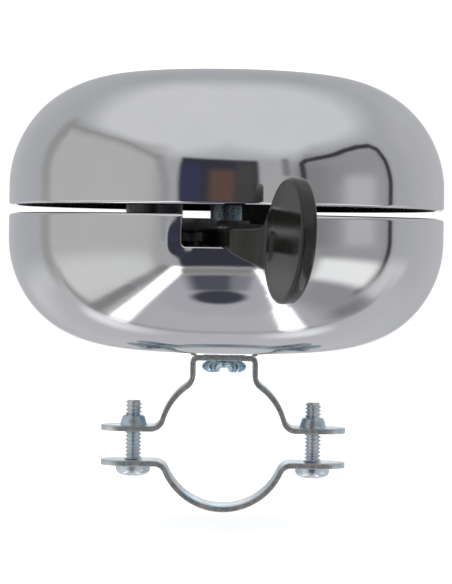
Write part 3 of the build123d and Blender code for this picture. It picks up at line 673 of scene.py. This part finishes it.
def upper_path():
    level, hub, stem, top = UPPER_TAB_Z, CLAMP_OPEN, STEM, SEAT_Z - STRAP / 2
    (x, z), start, end, touch = tangent_arc(hub, STRAP_R, TAB_BEND, level, -1, 1)
    left = tab_points(level, x) + arc((x, z), TAB_BEND, start, end, 10)[1:]
    centre_x = -stem - STEM_BEND
    centre_z = hub + sqrt((STRAP_R + STEM_BEND) ** 2 - centre_x**2)
    share = STRAP_R / (STRAP_R + STEM_BEND)
    meet = (centre_x * share, hub + (centre_z - hub) * share)
    first = degrees(atan2(touch[1] - hub, touch[0]))
    second = degrees(atan2(meet[1] - hub, meet[0]))
    left += arc((0, hub), STRAP_R, first, second, 28)[1:]
    start = degrees(atan2(meet[1] - centre_z, meet[0] - centre_x))
    left += arc((centre_x, centre_z), STEM_BEND, start, 0, 8)[1:]
    left += arc((-stem + TOP_BEND, top - TOP_BEND), TOP_BEND, 180, 90, 8)
    left += [((-stem + TOP_BEND) * (1 - step / 8), top) for step in range(1, 9)]
    return left + [(-px, pz) for px, pz in reversed(left[:-1])]


def strap_mesh(name, path):
    """Sweeps the strap's rounded section along its mid-line; the tabs end in half circles."""
    edge = 0.16
    steps = 3
    section = []
    for sx, sy, start in ((1, 1, 0), (-1, 1, 90), (-1, -1, 180), (1, -1, 270)):
        for step in range(steps + 1):
            angle = radians(start + 90 * step / steps)
            section.append((sx, sy, cos(angle), sin(angle)))
    points = []
    for index, (x, z) in enumerate(path):
        before, after = path[max(index - 1, 0)], path[min(index + 1, len(path) - 1)]
        run = Vector((after[0] - before[0], after[1] - before[1])).normalized()
        beyond = max(0.0, abs(x) - (TAB_TIP - STRAP_HALF))
        half = sqrt(max(STRAP_HALF**2 - beyond**2, 0.0))
        for sx, sy, ca, sa in section:
            offset = sx * (STRAP / 2 - edge) + edge * ca
            inset = min(edge, half)
            across = sy * (half - inset) + inset * sa
            points.append((x - run.y * offset, across, z + run.x * offset))
    piece = add_piece(name, points, ring_faces(len(path), len(section)), ZINC_STRAP)
    return weld(piece, 42)


def drill(centre_x, radius, bottom, top):
    """A round cutter, upright through the strap."""
    points = []
    sides = 48
    for z in (bottom, top):
        for side in range(sides):
            angle = 2 * pi * side / sides
            points.append((centre_x + radius * cos(angle), radius * sin(angle), z))
    return add_piece("drill", points, ring_faces(2, sides), STEEL)


def collar_outline():
    """The drawn collar round an upper screw hole, thinning upwards to a worn lip."""
    foot = UPPER_TAB_Z + STRAP / 2
    top = foot + 1.8
    inner = SCREW_R + TAPPED_HOLE
    outline = [(inner, foot - 0.1), (2.62, foot - 0.1), (2.5, foot + 0.08), (2.4, foot + 0.35)]
    outline += [(2.3, foot + 0.8), (2.17, foot + 1.25), (2.06, top - 0.22), (1.98, top - 0.07)]
    outline += [(1.86, top), (inner + 0.08, top), (inner, top - 0.08)]
    return outline


def make_straps():
    lower = strap_mesh("clamp_strap_lower", lower_path())
    holes = [drill(hand * SCREW_X, SCREW_R + LOOSE_HOLE, -9, 9) for hand in (-1, 1)]
    weld(cut(lower, holes), 42)
    finish_piece(lower, "lower_clamp", "zinc", "lower_clamp_strap")
    upper = strap_mesh("clamp_strap_upper", upper_path())
    holes = [drill(hand * SCREW_X, SCREW_R + TAPPED_HOLE, -9, 9) for hand in (-1, 1)]
    holes.append(drill(0.0, POST_R, 12, 20))
    weld(cut(upper, holes), 42)
    finish_piece(upper, "bell", "zinc", "upper_clamp_strap")
    for hand, side in ((-1, "left"), (1, "right")):
        points, faces = lathe(collar_outline(), 64, (hand * SCREW_X, 0.0))
        uneven = []
        for x, y, z in points:
            angle = atan2(y, x - hand * SCREW_X)
            worn = 0.09 * sin(3 * angle + hand) * max(0.0, z - UPPER_TAB_Z - 1.3)
            uneven.append((x, y, z - abs(worn)))
        collar = add_piece(f"strap_collar_{side}", uneven, faces, ZINC_STRAP)
        weld(collar, 50)
        finish_piece(collar, "bell", "zinc")


make_straps()


# ==== Clamp screws

def make_screw(hand, side):
    """A pan-head machine screw with a real helical thread and a cross recess."""
    centre = hand * SCREW_X
    low, high = SCREW_LOW, SCREW_HIGH
    per_turn, around = 10, 48
    crest, root = SCREW_R, SCREW_R - THREAD_DEPTH
    section = [crest, crest, crest - 0.1, crest - 0.22, crest - 0.32, root, root, root + 0.06]
    section += [root + 0.16, root + 0.27]
    rows = ceil((high - low) / SCREW_PITCH * per_turn) + 2 * per_turn
    points, faces = [], []
    for row in range(rows + 1):
        for column in range(around + 1):
            turn = column / around
            z = low + (row / per_turn - 1 + turn) * SCREW_PITCH
            radius = section[row % per_turn]
            taper = min(1.0, max(0.0, (high - z) / 0.5))
            radius = min(radius, root - 0.1 + (crest - root + 0.1) * taper)
            z = min(max(z, low), high)
            angle = 2 * pi * turn
            points.append((centre + radius * cos(angle), radius * sin(angle), z))
    stride = around + 1
    for row in range(rows):
        for column in range(around):
            near = row * stride + column
            faces.append((near, near + 1, near + stride + 1, near + stride))
    shank = add_piece(f"clamp_screw_{side}_threaded", points, faces, ZINC_SCREW)
    with edited(shank.data) as made:
        bmesh.ops.remove_doubles(made, verts=made.verts, dist=0.004 * MM)
        flat = [f for f in made.faces if max(v.co.z for v in f.verts) - min(v.co.z for v in f.verts) < 1e-8]
        bmesh.ops.delete(made, geom=flat, context="FACES_ONLY")
        bmesh.ops.delete(made, geom=[e for e in made.edges if not e.link_faces], context="EDGES")
        bmesh.ops.delete(made, geom=[v for v in made.verts if not v.link_faces], context="VERTS")
        bmesh.ops.holes_fill(made, edges=[e for e in made.edges if e.is_boundary], sides=0)
        bmesh.ops.recalc_face_normals(made, faces=made.faces)

    bottom = low - HEAD_HEIGHT
    outline = [(0.0, low), (HEAD_R - HEAD_CHAMFER, low)]
    outline += [(HEAD_R, low - HEAD_CHAMFER), (HEAD_R, low - HEAD_SIDE)]
    for turned in range(12, 85, 12):
        share_out, share_down = cos(radians(turned)), sin(radians(turned))
        radius = HEAD_R - HEAD_DOME_OUT + HEAD_DOME_OUT * share_out
        outline.append((radius, low - HEAD_SIDE - HEAD_DOME_DOWN * share_down))
    outline += [(1.5, bottom + 0.06), (0.8, bottom + 0.01), (0.0, bottom)]
    points, faces = lathe(outline, 72, (centre, 0.0))
    head = add_piece("head", points, faces, ZINC_SCREW)
    weld(head, 40)
    recess = []
    for turned in (0, 90):
        wing_points = []
        for z, half_length, half_width in ((bottom - 0.3, 1.85, 0.46), (bottom + 1.3, 1.1, 0.3)):
            for sx, sy in ((-1, -1), (1, -1), (1, 1), (-1, 1)):
                x, y = sx * half_length, sy * half_width
                if turned:
                    x, y = -y, x
                wing_points.append((centre + x, y, z))
        wing_faces = [(3, 2, 1, 0), (4, 5, 6, 7), (0, 1, 5, 4), (1, 2, 6, 5), (2, 3, 7, 6), (3, 0, 4, 7)]
        recess.append(add_piece("wing", wing_points, wing_faces, ZINC_SCREW))
    cut(head, recess)
    with edited(shank.data) as joined:
        joined.from_mesh(head.data)
    bpy.data.objects.remove(head)
    shade(shank.data, 38)
    finish_piece(shank, f"screw_{side}", "zinc", f"clamp_screw_{side}")


make_screw(-1, "left")
make_screw(1, "right")


# ==== Post with burst end

def lobe(angle):
    """How much of the full petal stands out at an angle: two petals on the X axis."""
    return max(0.0, cos(2 * angle)) ** 0.6


def petal_depth(angle):
    """The petals towards the bar are peened flatter than the two beside it."""
    return 0.6 + 0.4 * ease((abs(cos(angle)) - 0.3) / 0.35)


def make_post():
    """The post, threaded at the top, its lower end burst and peened over the strap in four lobes."""
    around, top, thread = 96, POST_TOP, POST_THREAD_START
    under = SEAT_Z - STRAP
    depths = [2.2, 2.16, 2.03, 1.8, 1.5, 1.1, 0.7, 0.35, 0.1, 0.0]
    levels = [under - depth for depth in depths] + [under + 0.02, under + 0.6, 20.0, 30.0, 40.0, thread]
    levels += [thread + 0.1 * step for step in range(1, 120)] + [top - 0.05, top]
    points = []
    for z in levels:
        for column in range(around):
            angle = 2 * pi * column / around
            radius, height = POST_R, z
            if z < under + 0.01:
                rise = 1 - (under - z) / depths[0]
                bulge = sin(pi * min(1.0, max(0.0, rise * 0.86 + 0.1))) ** 0.55
                petals = PETAL_LONG * lobe(angle) + PETAL_SHORT * lobe(angle + pi / 2)
                radius = PETAL_CORE + petals * bulge
                height = under - (under - z) * petal_depth(angle)
            if z > thread:
                phase = (z / POST_PITCH - angle / (2 * pi)) % 1.0
                depth = POST_THREAD_DEPTH * abs(2 * phase - 1)
                radius = POST_R - depth * min(1.0, z - thread)
            points.append((radius * cos(angle), radius * sin(angle), height))
    faces = ring_faces(len(levels), around, capped=False)
    base = len(points)
    for z, radius in ((levels[0], HOLLOW_R + 0.1), (levels[0] + 0.65, HOLLOW_R), (19.9, HOLLOW_R)):
        for column in range(around):
            angle = 2 * pi * column / around
            height = under - (under - z) * petal_depth(angle) if z < under else z
            points.append((radius * cos(angle), radius * sin(angle), height))
    for column in range(around):
        nxt = (column + 1) % around
        faces.append((column, base + column, base + nxt, nxt))
        for ring_index in range(2):
            near, far = base + ring_index * around, base + (ring_index + 1) * around
            faces.append((near + column, far + column, far + nxt, near + nxt))
    faces.append(tuple(base + 2 * around + column for column in range(around)))
    faces.append(tuple((len(levels) - 1) * around + column for column in range(around)))
    post = add_piece("post_with_burst_end", points, faces, ZINC_POST)
    weld(post, 60)
    finish_piece(post, "bell", "zinc", "centre_post")


make_post()


# ==== Thumb lever

def hermite(start, start_run, end, end_run, share):
    """A smooth curve between two points with given end directions and no bend at its ends."""
    cube, fourth, fifth = share**3, share**4, share**5
    blend = 10 * cube - 15 * fourth + 6 * fifth
    weights = (1 - blend, share - 6 * cube + 8 * fourth - 3 * fifth, blend, 7 * fourth - 4 * cube - 3 * fifth)
    return tuple(weights[0] * s + weights[1] * sr + weights[2] * e + weights[3] * er
                 for s, sr, e, er in zip(start, start_run, end, end_run))


def lever_stations():
    """(x, y, bottom, top, half thickness, edge round) along the lever, from the tang to the far rim."""
    arm = (cos(ARM_HEADING), sin(ARM_HEADING))
    paddle = (cos(PADDLE_HEADING), sin(PADDLE_HEADING))
    wall_distance = hypot(WALL_POINT[0] - PIVOT[0], WALL_POINT[1] - PIVOT[1])
    stations = []
    for step in range(13):
        along = TANG_START + (wall_distance - TANG_START) * step / 12
        place = (PIVOT[0] + arm[0] * along, PIVOT[1] + arm[1] * along)
        stations.append((*place, NECK_BOTTOM, NECK_TOP, NECK_HALF, NECK_EDGE))
    join = -sqrt(PADDLE_R**2 - JOIN_HALF**2)
    end = (PADDLE[0] - paddle[0] * CURVE_INSIDE, PADDLE[1] - paddle[1] * CURVE_INSIDE)
    span = hypot(end[0] - WALL_POINT[0], end[1] - WALL_POINT[1])
    start_run = (arm[0] * span, arm[1] * span)
    end_run = (paddle[0] * span, paddle[1] * span)
    steps = 44
    curve = [hermite(WALL_POINT, start_run, end, end_run, step / steps) for step in range(1, steps + 1)]
    travelled = [(x - PADDLE[0]) * paddle[0] + (y - PADDLE[1]) * paddle[1] for x, y in curve]
    first = (WALL_POINT[0] - PADDLE[0]) * paddle[0] + (WALL_POINT[1] - PADDLE[1]) * paddle[1]
    for place, along in zip(curve, travelled):
        share = min((along - first) / (join - first), 1.0)
        half = NECK_HALF + (PADDLE_HALF - NECK_HALF) * ease(1.4 * share)
        if along < join:
            top = NECK_TOP + (PADDLE[2] + JOIN_HALF - NECK_TOP) * share**TOP_SWEEP
            fallen = 1 - (1 - share) ** BOTTOM_SWEEP
            bottom = NECK_BOTTOM + (PADDLE[2] - JOIN_HALF - NECK_BOTTOM) * fallen
        else:
            half_height = sqrt(PADDLE_R**2 - along**2)
            bottom, top = PADDLE[2] - half_height, PADDLE[2] + half_height
        stations.append((*place, bottom, top, half, NECK_EDGE + (PADDLE_EDGE - NECK_EDGE) * share))
    rim_steps = 46
    start_angle = acos(CURVE_INSIDE / PADDLE_R)
    for step in range(1, rim_steps + 1):
        angle = start_angle + (pi - start_angle) * step / rim_steps
        along = -PADDLE_R * cos(angle)
        half_height = PADDLE_R * sin(angle)
        place = (PADDLE[0] + paddle[0] * along, PADDLE[1] + paddle[1] * along)
        stations.append((*place, PADDLE[2] - half_height, PADDLE[2] + half_height, PADDLE_HALF, PADDLE_EDGE))
    return stations


def make_thumb_lever():
    """One smooth moulding: a tang, a neck that fans out, and a round paddle with softened edges."""
    stations = lever_stations()
    across = 40
    points = []
    paddle = (cos(PADDLE_HEADING), sin(PADDLE_HEADING))
    for index, (x, y, bottom, top, half, soft_edge) in enumerate(stations):
        before, after = stations[max(index - 1, 0)], stations[min(index + 1, len(stations) - 1)]
        run = Vector((after[0] - before[0], after[1] - before[1])).normalized()
        along = (x - PADDLE[0]) * paddle[0] + (y - PADDLE[1]) * paddle[1]
        middle, reach = (top + bottom) / 2, (top - bottom) / 2
        for face_side in (1, -1):
            for step in range(across + 1):
                place = sin(pi / 2 * (2 * step / across - 1)) * face_side
                z = middle + reach * place
                depth_in = reach * (1 - abs(place))
                if along > DISC_START:
                    depth_in = PADDLE_R - hypot(along, z - PADDLE[2])
                depth_in = min(max(depth_in, 0.0), soft_edge)
                rounded = sqrt(max(soft_edge**2 - (soft_edge - depth_in) ** 2, 0.0))
                thick = (half - soft_edge + rounded) * face_side
                thick += (z - PADDLE[2]) * tan(PADDLE_LEAN) * ease((along - LEAN_START) / LEAN_RUN)
                points.append((x - run.y * thick, y + run.x * thick, z))
    lever = add_piece("thumb_lever_moulding", points, ring_faces(len(stations), 2 * (across + 1)), PLASTIC)
    weld(lever, 38, 0.01)
    finish_piece(lever, "lever", "black_plastic", "thumb_lever")


make_thumb_lever()


# ==== Return spring

def make_return_spring():
    """The torsion spring as one round wire: a leg on the spacer, the coil, and a leg along the lever."""
    bottom, mean, wire, pitch = 34.8, 3.0, 0.35, 0.88
    reach = hypot(*PIVOT)
    bar = 4.2 + wire + 0.02
    fixed = atan2(-PIVOT[1], -PIVOT[0]) + pi / 2 + asin((bar - mean) / reach)
    moving = ARM_HEADING - pi / 2
    turned = (moving - fixed) % (2 * pi) + 4 * pi
    height = pitch * turned / (2 * pi)
    path = []
    fixed_end = (bar * cos(fixed) + 3.0 * sin(fixed), bar * sin(fixed) - 3.0 * cos(fixed))
    coil_start = (PIVOT[0] + mean * cos(fixed), PIVOT[1] + mean * sin(fixed))
    for step in range(12):
        share = step / 12
        path.append((fixed_end[0] + (coil_start[0] - fixed_end[0]) * share,
                     fixed_end[1] + (coil_start[1] - fixed_end[1]) * share, bottom))
    steps = 150
    for step in range(steps + 1):
        angle = fixed + turned * step / steps
        z = bottom + height * step / steps
        path.append((PIVOT[0] + mean * cos(angle), PIVOT[1] + mean * sin(angle), z))
    for step in range(1, 13):
        reach_out = 10.0 * step / 12
        path.append((path[12 + steps][0] + reach_out * cos(ARM_HEADING),
                     path[12 + steps][1] + reach_out * sin(ARM_HEADING), bottom + height))
    sides = 12
    points = []
    for index, place in enumerate(path):
        before, after = path[max(index - 1, 0)], path[min(index + 1, len(path) - 1)]
        run = (Vector(after) - Vector(before)).normalized()
        side = run.cross(Vector((0, 0, 1))).normalized()
        up = side.cross(run)
        for number in range(sides):
            angle = 2 * pi * number / sides
            points.append(tuple(Vector(place) + side * (wire * cos(angle)) + up * (wire * sin(angle))))
    spring = add_piece("return_spring_wire", points, ring_faces(len(path), sides), SPRING_STEEL)
    weld(spring, 60)
    finish_piece(spring, None, "spring_steel", "return_spring")
    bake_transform(spring)


make_return_spring()


# ==== Carried-over nodes

# The zinc slot takes the darkened inside zinc, which is painted shade.
FINISHES = {
    "chrome": CHROME_UPPER, "zinc": ZINC_INSIDE_SHADED, "steel": STEEL, "spring_steel": SPRING_STEEL,
    "black_plastic": PLASTIC, "nylon": NYLON, "brass": BRASS, "rubber": RUBBER,
}


def finish_cad_nodes():
    """Gives each CAD node that still shows its slot's material."""
    slots = {entry["node"]: entry["material_slot"] for entry in frame["record"]["subparts"]}
    for name, piece in frame["nodes"].items():
        if piece.hide_render:
            continue
        slot_name = slots[name]
        piece.data.materials.clear()
        piece.data.materials.append(FINISHES[slot_name])


finish_cad_nodes()


# ==== Light tent, floor, camera

def smooth(low, high, value):
    share = np.clip((value - low) / (high - low), 0, 1)
    return share * share * (3 - 2 * share)


def patch(az, el, left, right, low, high, soft_side, soft_end=None):
    """A soft-edged rectangle of directions."""
    soft_end = soft_side if soft_end is None else soft_end
    across = smooth(left - soft_side, left + soft_side, az) - smooth(right - soft_side, right + soft_side, az)
    upward = smooth(low - soft_end, low + soft_end, el) - smooth(high - soft_end, high + soft_end, el)
    return np.clip(across, 0, 1) * np.clip(upward, 0, 1)


def stroke(az, el, path, width, soft_edge):
    """A soft line through (azimuth, elevation) points."""
    best = np.full(az.shape, 1e9)
    for (a0, e0), (a1, e1) in zip(path, path[1:]):
        shrink = cos(radians((e0 + e1) / 2))
        da, de = (a1 - a0) * shrink, e1 - e0
        pa, pe = (az - a0) * shrink, el - e0
        share = np.clip((pa * da + pe * de) / (da * da + de * de), 0, 1)
        best = np.minimum(best, np.hypot(pa - share * da, pe - share * de))
    return 1 - smooth(width, width + soft_edge, best)


def floor_edge(heading, distance, start, end):
    """Directions from start to end along a straight edge on the tent's floor.

    The heading is where the edge runs closest, and the distance there is a share of the camera's height.
    """
    places = np.linspace(start, end, 20)
    return [(place, -degrees(atan2(cos(radians(place - heading)), distance))) for place in places]


WHITE_HOT = (2.2, 2.2, 2.2)
# The tent's floor is a rectangle: its sides run to the left and right of the camera.
LEFT_SIDE, RIGHT_SIDE = -96.0, 96.0


def tent_light(az, el):
    """The tent's brightness by direction: azimuth from the camera and elevation, in degrees.

    Later marks lie over earlier ones.
    """
    light = np.ones(az.shape + (3,)) * np.array((0.585, 0.59, 0.615))

    def lay(mask, colour, opacity=1.0):
        share = (mask * opacity)[..., None]
        light[:] = light * (1 - share) + np.array(colour) * share

    def panel(edges, colour, opacity=1.0):
        lay(patch(az, el, *edges), colour, opacity)

    def line(drawn, colour, opacity=1.0):
        lay(stroke(az, el, *drawn), colour, opacity)

    side = np.abs(az)
    behind = 180 - side
    low = np.interp(side, [0, 26, 40, 50, 90, 120, 180], [22, 20, 24, 31, 33, 37, 46])
    high = np.interp(side, [0, 26, 40, 50, 90, 120, 180], [48, 36, 37, 41, 48, 64, 82])
    lay(1 - smooth(10, 30, behind), (0.545, 0.55, 0.57))
    panel((112, 148, -70, 34, 8, 8), (0.64, 0.64, 0.66))
    panel((-150, -110, -48, -16, 12, 10), (0.9, 0.9, 0.91))
    lay(smooth(low, high, el), (0.91, 0.91, 0.925))
    panel((-112, -34, -60, 36, 5, 4), (0.66, 0.66, 0.645))
    panel((-106, -40, -44, -14, 8, 9), (0.9, 0.9, 0.89))
    panel((-38, 40, -75, 23, 4, 4), (0.57, 0.57, 0.57))
    panel((42, 93, -60, 29, 2.5, 3), (0.44, 0.44, 0.45))
    panel((60, 90, -16, 12, 7, 9), (0.49, 0.49, 0.5))
    top_line = [(-112, 30), (-117, 34.5), (-105, 36.5), (-87, 37.8)]
    top_line += [(-70, 37), (-58, 34.6), (-46, 29.5), (-38, 25)]
    line((top_line, 0.3, 5.5), (0.38, 0.38, 0.37), 0.42)
    line((top_line, 0.3, 1.6), (0.3, 0.3, 0.29), 0.42)
    line(([(-116, 34), (-112, 20), (-108, 2), (-108, -20), (-112, -44)], 1.0, 6.5), (0.43, 0.43, 0.42), 0.8)
    line(([(-37, 25), (-33, 12), (-31, 0)], 0.4, 4.0), (0.36, 0.36, 0.36), 0.5)
    panel((-24.5, 16.2, -26.5, 24.6 - az / 18, 1.2, 1.5), (0.055, 0.055, 0.075))
    panel((-24, -13, -2, 20, 3, 4), (0.06, 0.065, 0.13), 0.8)
    panel((5, 14, 0, 21, 3, 4), (0.105, 0.1, 0.09), 0.8)
    panel((-9, 4, -2, 15, 3, 4), (0.2, 0.12, 0.09), 0.75)
    line(([(31, 24), (30.5, 12)], 0.6, 2.6), (0.22, 0.22, 0.22), 0.75)
    panel((33, 54, -6, 20, 7, 6), (0.24, 0.24, 0.24), 0.6)
    outline = [(92.5, -22), (93.5, 5), (94, 20), (93, 27.5), (89, 30.8), (80, 31.6), (70, 30.4), (60, 27.4)]
    outline += [(50, 25.4), (42.5, 23.6), (39.8, 21), (39.6, 8)]
    line((outline, 0.4, 5.0), (0.3, 0.3, 0.3), 0.35)
    line((outline, 0.9, 1.3), (0.045, 0.045, 0.055), 0.97)
    line(([(92, -24), (89, -33), (88.5, -43)], 1.0, 1.6), (0.16, 0.16, 0.17), 0.9)
    panel((44, 66, 3, 20, 8, 7), (0.36, 0.36, 0.37), 0.55)
    panel((63, 82, -3, 10, 5, 5), (0.8, 0.8, 0.8), 0.6)
    panel((50, 90, -34, -15, 5, 4), (1.4, 1.4, 1.38), 0.85)
    panel((95, 112, -36, -12, 3, 6), (0.9, 0.9, 0.9), 0.85)
    panel((54, 116, -62, -38, 8, 4), (0.42, 0.42, 0.44), 0.95)
    panel((96, 114, -56, -40, 6, 6), (0.26, 0.26, 0.28), 0.75)
    lay(smooth(-50, -66, el), (0.64, 0.64, 0.66))
    panel((-58, 48, -80, -36, 10, 4), (0.58, 0.58, 0.61))
    line((floor_edge(LEFT_SIDE, 0.915, -34, -114), 0.5, 4.6), (0.3, 0.3, 0.3), 0.8)
    line((floor_edge(LEFT_SIDE, 0.915, -63, -114), 1.2, 3.2), (0.32, 0.32, 0.32), 0.8)
    line((floor_edge(LEFT_SIDE, 0.635, -27, -122), 2.4, 2.4), WHITE_HOT)
    for start, width, soft_edge in ((18, 0.8, 1.8), (35, 1.6, 2.0), (61, 2.6, 2.2)):
        line((floor_edge(RIGHT_SIDE, 0.365, start, 130), width, soft_edge), WHITE_HOT)
    below = 1 / np.tan(np.radians(np.clip(-el, 8, 90)))
    across, back = np.sin(np.radians(az)) * below, -np.cos(np.radians(az)) * below
    past = back - 0.29 - 0.145 * np.abs(across)
    ground = smooth(-14, -34, el)
    lay((smooth(-0.1, -0.02, past) - smooth(-0.02, 0.02, past)) * ground, (0.4, 0.4, 0.38), 0.55)
    lay(smooth(-0.01, 0.05, past) * ground, (0.69, 0.69, 0.71))
    for middle, width, height in ((-0.66, 0.5, 0.24), (0.36, 0.28, 0.2)):
        glow = np.hypot((across - middle) / width, (past - 0.13) / height)
        lay((1 - smooth(0.1, 1.0, glow)) * smooth(-0.01, 0.05, past) * ground, (1.25, 1.25, 1.25), 0.85)
    panel((-25, 15, -33.4, -28, 2, 1.2), (0.345, 0.35, 0.33))
    panel((-23, 6, -51, -34.6, 6, 2.0), (0.12, 0.12, 0.15))
    panel((4, 16, -51, -34.6, 3, 2.5), (0.27, 0.27, 0.3), 0.85)
    ellipse = np.hypot((az + 5) / 24, (el + 58.5) / 8.5)
    lay(1 - smooth(0.7, 1.12, ellipse), (0.042, 0.042, 0.066), 0.95)
    lay((1 - smooth(6, 16, behind)) * patch(az, el, -200, 200, 4, 17, 10, 3), (1.7, 1.7, 1.7), 0.9)
    lay((1 - smooth(6, 16, behind)) * patch(az, el, -200, 200, -18, -4, 10, 4), (1.7, 1.7, 1.7), 0.9)
    return light


def make_tent():
    """A dome far outside every view whose inner face lights the bell and shows in its reflections."""
    across, up, radius = 540, 270, 3.0
    az = np.linspace(-180, 180, across, endpoint=False)
    el = np.linspace(-90, 90, up + 1)
    grid_el, grid_az = np.meshgrid(el, az, indexing="ij")
    a, e = np.radians(grid_az), np.radians(grid_el)
    points = np.stack([np.sin(a) * np.cos(e), -np.cos(a) * np.cos(e), np.sin(e)], -1) * radius
    points = points.reshape(-1, 3) + np.array((0, 0, 0.03))
    index = np.arange((up + 1) * across).reshape(up + 1, across)
    right = np.roll(index, -1, axis=1)
    faces = np.stack([index[:-1], right[:-1], right[1:], index[1:]], -1).reshape(-1, 4)
    mesh = bpy.data.meshes.new("light_tent")
    mesh.from_pydata(points.tolist(), [], faces.tolist())
    attribute = mesh.attributes.new("tent_light", "FLOAT_COLOR", "POINT")
    colours = np.ones((len(points), 4), np.float32)
    colours[:, :3] = tent_light(grid_az, grid_el).reshape(-1, 3)
    attribute.data.foreach_set("color", colours.ravel())
    material = bpy.data.materials.new("tent_cloth")
    material.use_nodes = True
    tree = material.node_tree
    tree.nodes.clear()
    colour = node(tree, "ShaderNodeAttribute", attribute_name="tent_light")
    glow = node(tree, "ShaderNodeEmission")
    out = node(tree, "ShaderNodeOutputMaterial")
    tree.links.new(colour.outputs["Color"], glow.inputs["Color"])
    tree.links.new(glow.outputs["Emission"], out.inputs["Surface"])
    material.cycles.emission_sampling = "NONE"
    mesh.materials.append(material)
    tent = show("light_tent", mesh)
    tent.visible_camera = False
    tent.visible_shadow = False


make_tent()


# The lower strap sinks by 2.5 mm when the clamp is opened, and the floor stays clear of it.
FLOOR_DROP = 0.0028


def make_floor():
    """A plain pale floor under the clamp, far larger than any view."""
    half, z = 2.4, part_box("lower_clamp_strap")[0].z - FLOOR_DROP
    mesh = bpy.data.meshes.new("pale_floor")
    corners = [(sx * half, sy * half, z) for sx, sy in ((-1, -1), (1, -1), (1, 1), (-1, 1))]
    mesh.from_pydata(corners, [], [(0, 1, 2, 3)])
    material, tree, shader = new_material("pale_floor")
    shader.inputs["Roughness"].default_value = 0.9
    shader.inputs["Specular IOR Level"].default_value = 0.0
    tone = noise(tree, object_coords(tree), 4.0)
    tree.links.new(ramp(tree, tone, [(0.3, 0.5), (0.7, 0.52)]), shader.inputs["Base Color"])
    shader.inputs["Emission Color"].default_value = (1.0, 1.0, 1.0, 1.0)
    shader.inputs["Emission Strength"].default_value = 0.75
    mesh.materials.append(material)
    floor_piece = show("pale_floor", mesh)
    floor_piece.visible_glossy = False


make_floor()


def add_lamp(name, place, target, size, power, colour=(1, 1, 1)):
    data = bpy.data.lights.new(name, "AREA")
    data.shape = "DISK"
    data.size = size
    data.energy = power
    data.color = colour
    lamp = show(name, data)
    lamp.location = place
    lamp.rotation_mode = "QUATERNION"
    lamp.rotation_quaternion = (Vector(target) - Vector(place)).to_track_quat("-Z", "Y")
    lamp.visible_camera = False
    lamp.visible_glossy = False
    return lamp


add_lamp("overhead_softbox", (0.0, -0.1, 2.2), (0, 0, 0), 2.6, 34.0)

world = bpy.data.worlds.new("white_backdrop")
bpy.context.scene.world = world
world.use_nodes = True
background = next(n for n in world.node_tree.nodes if n.type == "BACKGROUND")
background.inputs["Color"].default_value = (1.0, 1.0, 1.0, 1.0)
background.inputs["Strength"].default_value = 1.05

EYE = Vector((0.0, -0.420, 0.0376))
AIM = Vector((0.00013, 0.0, 0.0283))
ROLL = radians(0.9)
SENSOR_WIDTH, LENS = 36.0, 180.9
camera_data = bpy.data.cameras.new("camera")
camera_data.sensor_fit = "HORIZONTAL"
camera_data.sensor_width = SENSOR_WIDTH
camera_data.lens = LENS
camera_data.clip_start, camera_data.clip_end = 0.01, 20.0
camera = show("camera", camera_data)
camera.location = EYE
camera.rotation_mode = "QUATERNION"
camera.rotation_quaternion = (AIM - EYE).to_track_quat("-Z", "Y") @ Quaternion((0, 0, 1), ROLL)
bpy.context.scene.camera = camera
bpy.context.scene.view_settings.view_transform = "Standard"
